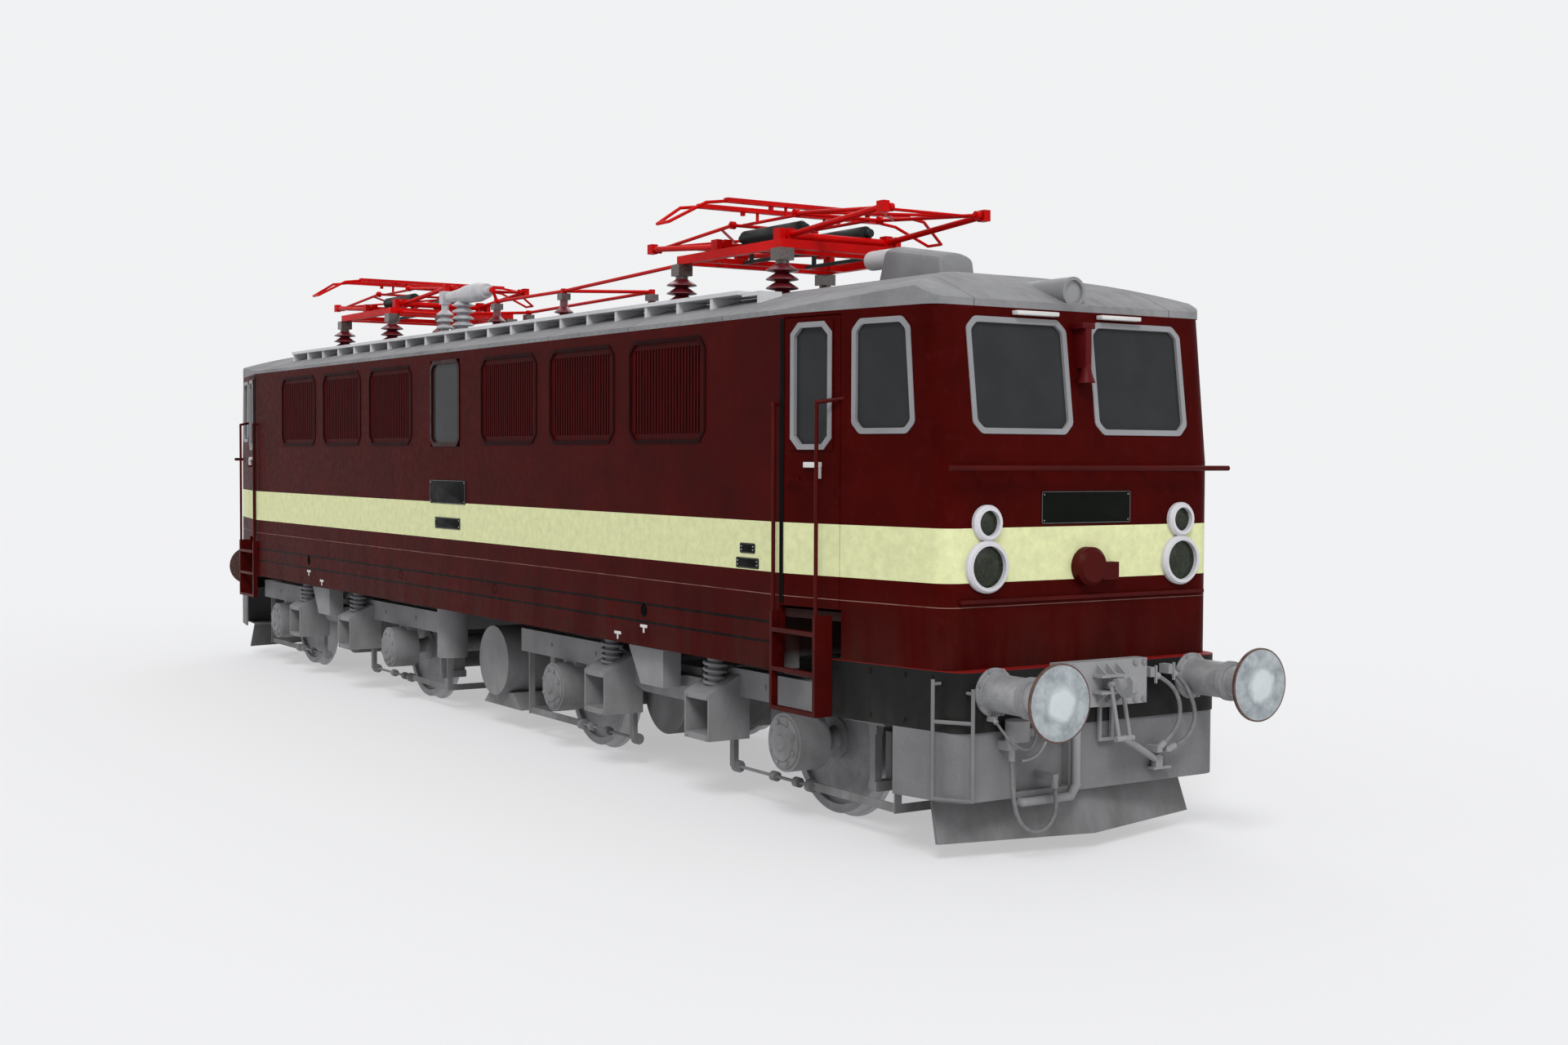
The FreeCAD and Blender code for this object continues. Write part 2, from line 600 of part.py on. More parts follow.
def door_box(name, side, x, depth, z):
    """A box in a door's own frame; depths are counted inwards from the outer face."""
    return box(name, x, (-side * depth[0], -side * depth[1]), z)


def door_pieces(word, side):
    thick, gap = S.door_thick, S.fit_gap
    tall, wide = (S.door_low, S.door_high), (0, door_width)
    view = (pane_start, door_width - pane_start)
    view_tall = (S.door_pane_low, S.door_pane_high)
    edge = S.door_rim
    leaf = [door_box("leaf_plate_" + word, side, wide, (0, thick), tall),
            door_box("leaf_rim_" + word, side, (view[0] - edge, view[1] + edge),
                     (-edge / 2, thick), (view_tall[0] - edge, view_tall[1] + edge)),
            door_box("leaf_stand_" + word, side,
                     (S.handle_x, S.handle_x + S.handle_thick), (-S.handle_reach, 0),
                     (S.handle_height, S.handle_height + S.handle_thick)),
            door_box("leaf_handle_" + word, side,
                     (S.handle_x, S.handle_x + S.handle_length),
                     (-S.handle_reach - S.handle_thick, -S.handle_reach),
                     (S.handle_height, S.handle_height + S.handle_thick))]
    for number, middle in enumerate((S.door_low + S.hinge_inset, S.door_high - S.hinge_inset)):
        tag = "%s_%d" % (word, number)
        ends = (middle - S.hinge_length / 2, middle + S.hinge_length / 2)
        leaf.append(rod("hinge_barrel_" + tag, "z", S.hinge_radius, ends, door_width,
                        -side * (thick + S.hinge_off)))
        leaf.append(door_box("hinge_plate_" + tag, side,
                             (door_width - 5 * S.hinge_radius, door_width),
                             (thick, thick + S.hinge_off - S.hinge_radius / 2), ends))
    opening = door_box("leaf_hole_" + word, side, view, (-thick, 2 * thick), view_tall)
    pane = door_box("leaf_pane_" + word, side, (view[0] + gap, view[1] - gap),
                    (S.pane_set, S.pane_set + S.pane_thick),
                    (view_tall[0] + gap, view_tall[1] - gap))
    return cut("leaf_" + word, fuse("leaf_solid_" + word, leaf), [opening]), pane


doorways = []
OTHER = {"right": "left", "left": "right"}
for word, side in SIDES:
    leaf, pane = door_pieces(word, side)
    place = door_place(side)
    for name, item in (("door_", leaf), ("door_glass_", pane)):
        front = at(name + "at_" + word, item, place)
        node(name + "front_" + word, group(name + "group_front_" + word, [front]))
        node(name + "rear_" + OTHER[word],
             group(name + "group_rear_" + word, [turned(name + "rear_of_" + word, front)]))
    gap = S.door_gap
    way = door_box("doorway_box_" + word, side, (-gap, door_width + gap),
                   (-S.wall, 3 * S.wall), (S.door_low - gap, S.door_high + gap))
    doorways.append(at("doorway_" + word, way, place))

# ---------------------------------------------------------------- cab shells
shell_block = nose("shell_outer", 0, (S.nose_low, S.eave), S.side_end, S.nose_x)
shell_hollow = nose("shell_inner", S.wall, (S.nose_low - S.wall, S.eave + S.wall),
                    S.side_end - S.wall, S.nose_x)
well = (S.side_end + S.door_gap, S.door_end + S.well_margin)
wells = [box("well_" + word, well, (side * (S.half_width - S.well_depth), side * S.half_width * 1.1),
             (S.nose_low - S.wall, S.door_low))
         for word, side in SIDES]
cab_shell = cut("cab_shell", shell_block, [shell_hollow] + cab_openings + doorways + wells)
node("cab_shell_front", group("cab_front", [cab_shell]))
node("cab_shell_rear", group("cab_rear", [turned("cab_shell_turned", cab_shell)]))

# ---------------------------------------------------------------- roof
node("roof_skin", cut("roof", roof_outer, [roof_block("roof_inner", S.roof_skin_thick)]))

# ---------------------------------------------------------------- underframe
inner = S.half_width - S.wall - S.fit_gap
floor_low = S.floor_top - S.floor_thick
pieces = [box("deck", (-S.side_end, S.side_end), (-inner, inner), (floor_low, S.floor_top))]
pieces += both_ends("cab_floor", nose("cab_floor", S.wall + S.fit_gap, (floor_low, S.floor_top),
                                      S.side_end, S.nose_x))
for word, side in SIDES:
    pieces.append(box("sill_" + word, (-S.sill_half, S.sill_half),
                      (side * S.sill_y - S.sill_wide / 2, side * S.sill_y + S.sill_wide / 2),
                      (S.sill_low, floor_low)))
for place in range(-3, 4):
    middle, half = place * S.cross_pitch, inner
    pieces.append(box("cross_%d" % (place + 3), (middle - S.cross_wide / 2, middle + S.cross_wide / 2),
                      (-half, half), (S.sill_low, floor_low)))
for end_word, end in ENDS:
    middle = end * S.bogie_x
    pieces.append(box("bolster_" + end_word, (middle - S.bolster_half, middle + S.bolster_half),
                      (-S.bolster_wide, S.bolster_wide), (S.bolster_low, floor_low)))
    pieces.append(rod("pivot_" + end_word, "z", S.pivot_radius, (S.pivot_low, floor_low), middle, 0))
    face = end * (S.nose_x - S.wall - S.fit_gap)
    pieces.append(box("headstock_" + end_word, (face, face - end * S.head_thick),
                      (-S.head_wide, S.head_wide), (S.head_low, S.floor_top)))
    for word, side in SIDES:
        tag = "%s_%s" % (end_word, word)
        pad_x, pad_y = end * S.pad_x, side * S.pad_y
        pieces.append(box("jack_pad_" + tag, (pad_x - S.pad_half, pad_x + S.pad_half),
                          (pad_y - S.pad_half, pad_y + S.pad_half), (S.skirt_low, floor_low)))
        for number, place in enumerate((-1, 1)):
            seat_x, seat_y = middle + place * S.spring_x, side * S.spring_y
            pieces.append(box("seat_%s_%d" % (tag, number),
                              (seat_x - S.seat_half, seat_x + S.seat_half),
                              (seat_y - S.seat_half, seat_y + S.seat_half),
                              (S.spring_top + S.fit_gap, floor_low)))
hollows = []
for word, side in SIDES:
    hollows += both_ends("frame_well_" + word, box(
        "frame_well_" + word, well, (side * (S.half_width - S.well_depth), side * S.half_width * 1.1),
        (S.skirt_low, S.floor_top - S.floor_thick)))
node("underframe", cut("main_frame", fuse("main_frame_solid", pieces), hollows))

# ---------------------------------------------------------------- inside the body
wall_x = S.side_end - S.bulkhead_gap
bulkhead = box("bulkhead", (wall_x, wall_x + S.bulkhead_thick),
               (S.wall / 8 - inner, inner - S.wall / 8), (S.floor_top, S.eave - S.wall / 8))
node("bulkheads", group("bulkhead_set", both_ends("bulkhead", bulkhead)))
desk = fuse("desk", [
    box("desk_top", (S.desk_start, S.desk_start + S.desk_depth), (-S.desk_half, S.desk_half),
        (S.desk_top - S.desk_thick, S.desk_top)),
    box("desk_pedestal", (S.pedestal_start, S.pedestal_start + S.pedestal_depth),
        (-S.desk_half * 0.95, S.desk_half * 0.95), (S.floor_top, S.desk_top)),
    box("desk_console", (S.console_start, S.console_start + S.console_depth),
        (-S.desk_half * 0.9, S.desk_half * 0.9), (S.desk_top, S.console_high))])
fittings = both_ends("desk", desk)
for word, side in SIDES:
    seat_y, seat_top = side * S.seat_y, S.floor_top + S.seat_high
    back = S.seat_x - S.seat_size
    seat = fuse("seat_" + word, [
        rod("seat_post_" + word, "z", S.seat_size / 4, (S.floor_top, seat_top), S.seat_x, seat_y),
        box("seat_pan_" + word, (back, S.seat_x + S.seat_size),
            (seat_y - S.seat_size, seat_y + S.seat_size), (seat_top, seat_top + S.seat_thick)),
        box("seat_back_" + word, (back, back + S.seat_thick),
            (seat_y - S.seat_size, seat_y + S.seat_size), (seat_top, seat_top + S.back_high))])
    fittings += both_ends("seat_" + word, seat)
node("cab_fittings", group("cab_fitting_set", fittings))
node("transformer_block", box("transformer", (-S.transformer_half_x, S.transformer_half_x),
                              (-S.transformer_half_y, S.transformer_half_y),
                              (S.floor_top, S.transformer_top)))

# ---------------------------------------------------------------- bands, aprons and ploughs
band_block = nose("band_outer", 0, (S.band_low, S.nose_low), S.band_start, S.band_tip)
band = cut("band", band_block,
           [nose("band_inner", S.end_plate, (S.band_low - S.wall, S.nose_low + S.wall),
                 S.band_start - S.wall, S.band_tip)])
lid = cut("band_lid", nose("band_lid_outer", 0, (S.nose_low - S.end_plate, S.nose_low),
                           S.nose_x - 4 * S.wall, S.band_tip),
          [box("band_lid_end", (S.nose_x - 5 * S.wall, S.nose_x - S.wall),
               (-S.half_width, S.half_width), (S.band_low, S.nose_low + S.wall))])
band = fuse("band_with_lid", [band, lid])
node("end_bands", group("band_set", both_ends("band", band)))

apron = cut("apron", nose("apron_outer", 0, (S.apron_low, S.band_low), S.apron_start, S.apron_tip),
            [nose("apron_inner", S.end_plate, (S.apron_low - S.wall, S.band_low + S.wall),
                  S.apron_start - S.wall, S.apron_tip),
             box("recess", (S.apron_tip - 2 * S.end_plate, S.apron_tip + S.wall),
                 (-S.recess_near, -S.recess_far), (S.recess_low, S.recess_high))])
edge = S.end_plate
recess_box = cut("recess_box", box(
    "recess_shell", (S.apron_tip - S.recess_set - edge, S.apron_tip - edge),
    (-S.recess_near - edge, edge - S.recess_far), (S.recess_low - edge, S.recess_high + edge)),
    [box("recess_room", (S.apron_tip - S.recess_set, S.apron_tip), (-S.recess_near, -S.recess_far),
         (S.recess_low, S.recess_high))])


def chevron(tip, side_x, half, height):
    """A V-shaped strip across the track, pointing forwards."""
    points = [(tip, 0), (side_x, half), (side_x - S.plough_thick, half), (tip - S.plough_thick, 0),
              (side_x - S.plough_thick, -half), (side_x, -half)]
    return Part.makePolygon([V(x, y, height) for x, y in points + points[:1]])


blade = solid("plough_blade", Part.makeLoft(
    [chevron(S.plough_top_x, S.plough_top_side, S.plough_half - S.plough_thick, S.apron_low),
     chevron(S.plough_tip_x, S.plough_side, S.plough_half, S.plough_low)], True, True))
shelf = pad("plough_shelf", "z", [
    (S.apron_tip - S.end_plate, S.plough_half - 2 * S.plough_thick),
    (S.apron_start + S.wall, S.plough_half), (S.apron_start + S.wall, -S.plough_half),
    (S.apron_tip - S.end_plate, 2 * S.plough_thick - S.plough_half)],
    (S.apron_low, S.apron_low + S.end_plate))
end_item = fuse("apron_end", [apron, recess_box, shelf, blade])
node("end_aprons", group("apron_set", both_ends("apron_end", end_item)))

# ---------------------------------------------------------------- buffers
neck = S.buffer_neck_x
buffer_profile = [
    (S.band_tip, 0), (S.band_tip, S.buffer_tube_radius),
    (S.buffer_tube_end, S.buffer_tube_radius), (S.buffer_tube_end, S.buffer_stem_radius),
    (neck, S.buffer_stem_radius), (neck, S.buffer_neck_radius),
    (S.buffer_face - S.buffer_head_thick * 1.6, S.buffer_neck_radius),
    (S.buffer_face - S.buffer_head_thick, S.buffer_stem_radius),
    (S.buffer_face - S.buffer_head_thick, S.buffer_head_radius),
    (S.buffer_face, S.buffer_head_radius), (S.buffer_face, 0)]
buffer_raw = spun("buffer_raw", "x", buffer_profile, (0, 0, S.buffer_axis))
dome = ball("buffer_dome", (S.buffer_face - S.buffer_dome, 0, S.buffer_axis), S.buffer_dome)
bind(dome, "Placement.Base.x", S.buffer_face - S.buffer_dome)
bind(dome, "Placement.Base.z", S.buffer_axis)
buffer = common("buffer", buffer_raw, dome)
buffers = []
for word, side in SIDES:
    buffers += both_ends("buffer_" + word, moved("buffer_" + word, buffer, y=side * S.buffer_y))
node("buffers", group("buffer_set", buffers))

# ---------------------------------------------------------------- draw gear
plate_face = S.band_tip + S.draw_plate_out
guide_end = plate_face + S.guide_out
shelf_gap = S.guide_gap / 2
draw = [box("draw_plate", (S.band_tip, plate_face), (-S.draw_plate_right, S.draw_plate_left),
            (S.draw_plate_low, S.draw_plate_high))]
for word, side, edge_z in (("top", 1, S.draw_plate_high), ("low", -1, S.draw_plate_low)):
    near, far = S.draw_axis + side * shelf_gap, S.draw_axis + side * (shelf_gap + S.guide_thick)
    draw.append(box("guide_" + word, (plate_face, guide_end), (-S.guide_half, S.guide_half),
                    (near, far)))
    for number in (-1, 0, 1):
        middle = number * S.gusset_pitch
        draw.append(pad("gusset_%s_%d" % (word, number + 1), "y",
                        [(plate_face, far), (guide_end, far),
                         (plate_face, edge_z - side * S.guide_thick)],
                        (middle - S.gusset_thick / 2, middle + S.gusset_thick / 2)))
hook_x, hook_z = S.hook_reach, S.draw_axis
half_shank = S.guide_gap * 0.42
hook_points = [
    (plate_face, hook_z - half_shank), (hook_x - 150, hook_z - half_shank),
    (hook_x - 100, hook_z - 2 * half_shank), (hook_x - 40, hook_z - 2 * half_shank),
    (hook_x, hook_z - half_shank), (hook_x, hook_z + half_shank),
    (hook_x - 30, hook_z + 1.7 * half_shank), (hook_x - 60, hook_z + 1.3 * half_shank),
    (hook_x - 45, hook_z), (hook_x - 75, hook_z - half_shank * 0.7),
    (hook_x - 110, hook_z - half_shank * 0.5), (hook_x - 130, hook_z + half_shank),
    (plate_face, hook_z + half_shank)]
hook = rounded("hook", pad("hook_flat", "y", hook_points, (-S.hook_half, S.hook_half)),
               S.hook_half / 3, along((0, 1, 0)))
draw.append(hook)
link_x = hook_x - 175
near_y, far_y, lower_y = -2 * S.hook_half, 2 * S.hook_half, 4 * S.hook_half
low_x, low_z = link_x - 20, S.link_low
spindle_end = (S.apron_tip + 2 * S.screw_radius, 510, low_z - 190)
draw += [
    bar("link_pin", (link_x, near_y - 10, hook_z), (link_x, far_y + 10, hook_z), S.link_radius * 1.3),
    bar("link_near", (link_x, near_y, hook_z), (low_x, near_y + lower_y, low_z), S.link_radius),
    bar("link_far", (link_x, far_y, hook_z), (low_x, far_y + lower_y, low_z), S.link_radius),
    bar("link_cross", (low_x, near_y + lower_y - 30, low_z), (low_x, far_y + lower_y + 30, low_z),
        S.link_radius * 1.4),
    bar("spindle", (low_x, lower_y, low_z), spindle_end, S.screw_radius),
    box("shackle_post", (S.apron_tip, S.apron_tip + 3 * S.screw_radius), (540, 560), (500, 590)),
    box("shackle_shelf", (S.apron_tip, S.apron_tip + 3 * S.screw_radius), (480, 640), (500, 516)),
    box("shackle_end", (S.apron_tip + S.screw_radius, S.apron_tip + 3 * S.screw_radius),
        (500, 545), (516, 600))]
stirrup = cut("stirrup", box(
    "stirrup_plate", (S.band_tip, S.band_tip + S.stirrup_bar),
    (S.stirrup_y - S.stirrup_half, S.stirrup_y + S.stirrup_half),
    (S.stirrup_low, S.draw_plate_low)), [box(
        "stirrup_hole", (0, 2 * S.band_tip),
        (S.stirrup_y - S.stirrup_half + S.stirrup_bar, S.stirrup_y + S.stirrup_half - S.stirrup_bar),
        (S.stirrup_low + S.stirrup_bar, S.draw_plate_low - S.stirrup_bar))])
draw.append(stirrup)
draw_item = fuse("draw", draw)
node("draw_gear", group("draw_set", both_ends("draw", draw_item)))


# ---------------------------------------------------------------- hoses, cables and pipes
def tube_shape(route, radius):
    """A hose or cable: straight runs joined by tangent arcs; prints its tightest bend."""
    points = [V(*point) for point in route]
    edges, bends = [], []
    start = points[0]
    for before, corner, after in zip(points, points[1:], points[2:]):
        into, out = (corner - before).normalize(), (after - corner).normalize()
        half_turn = math.acos(max(-1, min(1, into.dot(out)))) / 2
        run = 0.45 * min((corner - before).Length, (after - corner).Length)
        first, last = corner - into * run, corner + out * run
        inward = (out - into).normalize()
        bend = run / math.tan(half_turn)
        centre = corner + inward * (bend / math.cos(half_turn))
        edges.append(Part.makeLine(start, first))
        edges.append(Part.Arc(first, centre - inward * bend, last).toShape())
        bends.append(bend)
        start = last
    edges.append(Part.makeLine(start, points[-1]))
    path = Part.Wire(edges)
    section = Part.Wire(Part.makeCircle(radius, points[0], points[1] - points[0]))
    tube = path.makePipeShell([section], True, False)
    share = tube.Volume / (math.pi * radius ** 2 * path.Length)
    print("tube %.0f mm long, bends of %s mm, volume share %.4f"
          % (path.Length, " ".join("%.0f" % bend for bend in bends), share))
    return tube


HOSES = [
    ("hose_inner", S.hose_radius, [(7566, 490, 1136), (7584, 548, 1103), (7600, 616, 1036),
                                   (7606, 654, 940), (7604, 652, 832), (7593, 598, 738),
                                   (7580, 538, 688)]),
    ("hose_outer", S.hose_radius, [(7566, 650, 1138), (7584, 700, 1096), (7598, 744, 1018),
                                   (7606, 786, 922), (7604, 800, 830), (7595, 770, 742),
                                   (7586, 712, 684), (7578, 636, 659)]),
    ("cable", S.cable_radius, [(7552, -783, 672), (7556, -781, 572), (7562, -776, 460),
                               (7568, -762, 348), (7574, -712, 252), (7578, -624, 198),
                               (7580, -520, 206), (7580, -446, 276), (7578, -424, 372),
                               (7572, -434, 470)]),
    ("thin_cable", S.thin_cable_radius, [(7560, -915, 925), (7608, -909, 880), (7650, -880, 820),
                                         (7672, -826, 774), (7674, -754, 756),
                                         (7670, -692, 796), (7654, -668, 868),
                                         (7618, -656, 936)]),
]


def gland(name, end, inward, length, radius):
    """A sleeve in line with the end of a tube, and the point where it stops."""
    way = (V(*end) - V(*inward)).normalize()
    stop = V(*end) + way * length
    return bar(name, end, tuple(stop), radius), stop


hoses, fittings = [], []
for name, radius, route in HOSES:
    hoses += both_ends(name, solid(name, tube_shape(route, radius)))
    sleeve = radius + S.gland_over
    length = S.gland_length if radius > S.thin_cable_radius else S.gland_length / 2
    first, start = gland(name + "_gland", route[0], route[1], length, sleeve)
    last, stop = gland(name + "_end", route[-1], route[-2], length, sleeve)
    if name.startswith("hose"):
        block = box(name + "_cock", (S.band_tip, start.x + sleeve + 5),
                    (start.y - S.cock_half_y, start.y + S.cock_half_y),
                    (start.z - S.cock_half_z, start.z + S.cock_half_z))
        handle = box(name + "_handle", (start.x + sleeve, start.x + sleeve + 17),
                     (start.y + S.cock_half_y - 14, start.y + S.cock_half_y - 2),
                     (start.z - 75, start.z + 45))
        fittings.append(fuse(name + "_top", [first, block, handle]))
        park = box(name + "_park", (S.apron_tip, stop.x + sleeve),
                   (stop.y - sleeve, stop.y + sleeve), (S.park_low, stop.z + sleeve))
        fittings.append(fuse(name + "_foot", [last, park]))
    elif name == "cable":
        clamp = box(name + "_clamp", (S.apron_tip - S.recess_set, stop.x + sleeve),
                    (stop.y - sleeve, stop.y + sleeve), (stop.z - sleeve, stop.z + sleeve))
        drum = rod("drum", "z", S.drum_radius, (S.drum_low, S.drum_high),
                   S.band_tip + S.drum_radius, -S.drum_y)
        neck_box = box("drum_seat", (S.apron_tip, S.band_tip + S.drum_radius),
                       (-S.drum_y - S.drum_radius, -S.drum_y), (start.z, S.drum_low))
        fittings.append(fuse("drum_top", [first, drum, neck_box]))
        fittings.append(fuse(name + "_foot", [last, clamp]))
    else:
        arm = box(name + "_arm", (S.band_tip, start.x + sleeve),
                  (start.y - sleeve, start.y + sleeve), (start.z - sleeve, start.z + sleeve))
        hanger = box(name + "_hanger", (S.band_tip, stop.x + sleeve),
                     (stop.y - sleeve, stop.y + sleeve), (stop.z - sleeve, stop.z + sleeve))
        fittings.append(fuse(name + "_top", [first, arm]))
        fittings.append(fuse(name + "_foot", [last, hanger]))


def pipe(name, points, radius):
    """A steel pipe: straight runs with a ball at each bend."""
    parts = [bar("%s_run_%d" % (name, place), start, end, radius)
             for place, (start, end) in enumerate(zip(points, points[1:]))]
    parts += [ball("%s_bend_%d" % (name, place), point, radius * 1.05)
              for place, point in enumerate(points[1:-1])]
    return fuse(name, parts)


face = float(S.apron_tip + S.pipe_radius)
wall_pipe = pipe("wall_pipe", [(face, -S.pipe_y, S.band_low - 10), (face, -S.pipe_y, S.pipe_low + 70),
                               (face, -S.pipe_y - 50, S.pipe_low), (face, -640, S.pipe_low),
                               (S.apron_tip, -640, S.pipe_low)], S.pipe_radius * 0.95)
face = S.apron_tip + 4 * S.small_pipe_radius
small_pipe = solid("small_pipe", tube_shape(
    [(S.apron_tip, -400, 835), (face, -400, 835), (face, -520, 690), (face, -600, 660),
     (face, -668, 658)], S.small_pipe_radius))

# corner steps: a looped tube round the corner of the band on the right-hand side
side_wall_y = side_y(S.step_side_x) + S.step_off
front_x = S.band_tip + S.step_off
low_points = [(S.step_side_x, -side_wall_y, S.step_top), (S.step_side_x, -side_wall_y, S.step_low),
              (front_x, -S.step_front_y, S.step_low), (front_x, -S.step_front_y, S.step_top - 50)]
corner_step = cut("corner_step", fuse("corner_step_raw", [
    pipe("corner_loop", low_points, S.step_radius),
    bar("corner_rung", (S.step_side_x, -side_wall_y, S.step_rung),
        (front_x, -S.step_front_y, S.step_rung), S.step_radius),
    bar("corner_side_stay", (S.step_side_x, -side_wall_y, S.step_top - 30),
        (S.step_side_x, S.step_off - side_wall_y, S.step_top - 30), S.step_radius * 0.8),
    bar("corner_front_stay", (front_x, -S.step_front_y, S.step_top - 80),
        (S.band_tip, -S.step_front_y, S.step_top - 80), S.step_radius * 0.8)]), [band_block])
node("brake_hoses", group("hose_set", hoses))
fitting_items = []
for place, item in enumerate(fittings + [wall_pipe, small_pipe]):
    fitting_items += both_ends("end_fitting_%d" % place, item)
node("hose_fittings", group("hose_fitting_set", fitting_items))
node("corner_steps", group("corner_step_set", both_ends("corner_step", corner_step)))

# ---------------------------------------------------------------- lamps and socket
rings, lenses = [], []
LAMPS = (("small", S.small_lamp_axis, S.small_lamp_radius),
         ("large", S.large_lamp_axis, S.large_lamp_radius))
for kind, height, radius in LAMPS:
    ring_profile = [(0, radius - S.lamp_ring), (0, radius), (S.lamp_out * 0.6, radius),
                    (S.lamp_out, radius - S.lamp_ring * 0.4), (S.lamp_out, radius - S.lamp_ring)]
    ring = spun("lamp_ring_" + kind, "x", ring_profile, (S.nose_x, 0, height))
    glass = radius - S.lamp_ring - S.fit_gap
    lens = spun("lamp_lens_" + kind, "x", [(0, 0), (0, glass), (S.lens_out * 0.6, glass),
                                           (S.lens_out, glass * 0.5), (S.lens_out * 1.1, 0)],
                (S.nose_x, 0, height))
    for word, side in SIDES:
        tag = "%s_%s" % (kind, word)
        rings += both_ends("ring_" + tag, moved("ring_" + tag, ring, y=side * S.lamp_y))
        lenses += both_ends("lens_" + tag, moved("lens_" + tag, lens, y=side * S.lamp_y))
top_x = S.nose_x - S.top_lamp_back
top_inner = S.top_lamp_radius * 0.78
top_lamp = cut("top_lamp", rod("top_lamp_case", "x", S.top_lamp_radius,
                               (top_x - S.top_lamp_length, top_x), 0, S.top_lamp_axis),
               [roof_outer,
                rod("top_lamp_hole", "x", top_inner, (top_x - S.lamp_out, top_x + S.wall), 0,
                    S.top_lamp_axis),
                box("top_lamp_below", (top_x - 2 * S.top_lamp_length, top_x + S.wall),
                    (-2 * S.top_lamp_radius, 2 * S.top_lamp_radius), (S.waist, S.eave))])
top_glass = above_roof("top_glass", rod("top_glass_disc", "x", top_inner - S.fit_gap,
                                        (top_x - S.lamp_out, top_x - S.lens_out), 0,
                                        S.top_lamp_axis))
rings += both_ends("top_lamp", top_lamp)
lenses += both_ends("top_glass", top_glass)
node("lamp_rings", group("lamp_ring_set", rings))
node("lamp_lenses", group("lamp_lens_set", lenses))

# ---------------------------------------------------------------- handrails, ladders, ledges
hand_items, ladder_items = [], []
socket = fuse("socket", [
    spun("socket_case", "x", [(0, 0), (0, S.socket_radius), (S.socket_out * 0.7, S.socket_radius),
                              (S.socket_out, S.socket_radius * 0.8), (S.socket_out, 0)],
         (S.nose_x, 0, S.socket_axis)),
    box("socket_flap", (S.nose_x, S.nose_x + S.socket_out * 0.8),
        (S.socket_radius * 0.7, S.socket_radius * 1.8),
        (S.socket_axis - S.socket_radius * 0.7, S.socket_axis + S.socket_radius * 0.2))])
grab_ends = (S.nose_x + S.grab_reach, -S.grab_half, S.grab_half)
grab = [bar("grab_rail", (grab_ends[0], grab_ends[1], S.grab_height),
            (grab_ends[0], grab_ends[2], S.grab_height), S.grab_radius)]
for place in range(-2, 3):
    grab.append(bar("grab_stay_%d" % (place + 2), (S.nose_x, place * S.grab_pitch, S.grab_height),
                    (grab_ends[0], place * S.grab_pitch, S.grab_height), S.grab_radius * 0.7))
ledge = box("front_ledge", (S.nose_x, S.nose_x + S.ledge_out), (-S.ledge_half, S.ledge_half),
            (S.ledge_low, S.ledge_high))
for item in (socket, fuse("grab", grab), ledge):
    hand_items += both_ends(item.Name, item)
for word, side in SIDES:
    rail_y, ladder = side * S.rail_off, []
    foot, top = S.door_low - 2 * S.well_margin, S.rail_top - S.rail_radius
    near_x, far_x = S.ladder_start + S.rail_inset, S.ladder_end - S.rail_inset
    near_rail = fuse("near_rail_" + word, [
        rod("near_rail_tube_" + word, "z", S.rail_radius, (foot, S.rail_top), near_x, rail_y),
        rod("near_rail_stay_" + word, "y", S.rail_radius,
            (side * (S.rail_off + S.rail_radius), side * S.half_width), near_x, top)])
    wall_x = S.door_end + 2 * S.rail_radius
    far_rail = cut("far_rail_" + word, pipe(
        "far_rail_tube_" + word, [(far_x, rail_y, foot), (far_x, rail_y, top),
                                  (wall_x, side * (side_y(wall_x) - S.rail_radius),
                                   top + 2 * S.rail_radius)], S.rail_radius), [shell_block])
    hand_items += both_ends("near_rail_" + word, near_rail)
    hand_items += both_ends("far_rail_" + word, far_rail)
    for number, x in enumerate((S.ladder_start, S.ladder_end - S.stile_thick)):
        back = S.half_width if x < S.side_end else side_y(x) + S.fit_gap
        ladder.append(box("stile_%s_%d" % (word, number), (x, x + S.stile_thick),
                          (side * back, side * (S.ladder_face + S.tread_depth / 2)),
                          (S.ladder_low, S.door_low - 2 * S.well_margin)))
    for number in range(3):
        low = S.rung_low + number * S.rung_pitch
        ladder.append(box("rung_%s_%d" % (word, number), (S.ladder_start, S.ladder_end),
                          (side * (S.ladder_face - S.tread_depth / 2),
                           side * (S.ladder_face + S.tread_depth / 2)),
                          (low, low + S.rung_thick)))
    ladder_items += both_ends("ladder_" + word, fuse("ladder_" + word, ladder))
node("handrails", group("handrail_set", hand_items))
node("entry_ladders", group("ladder_set", ladder_items))

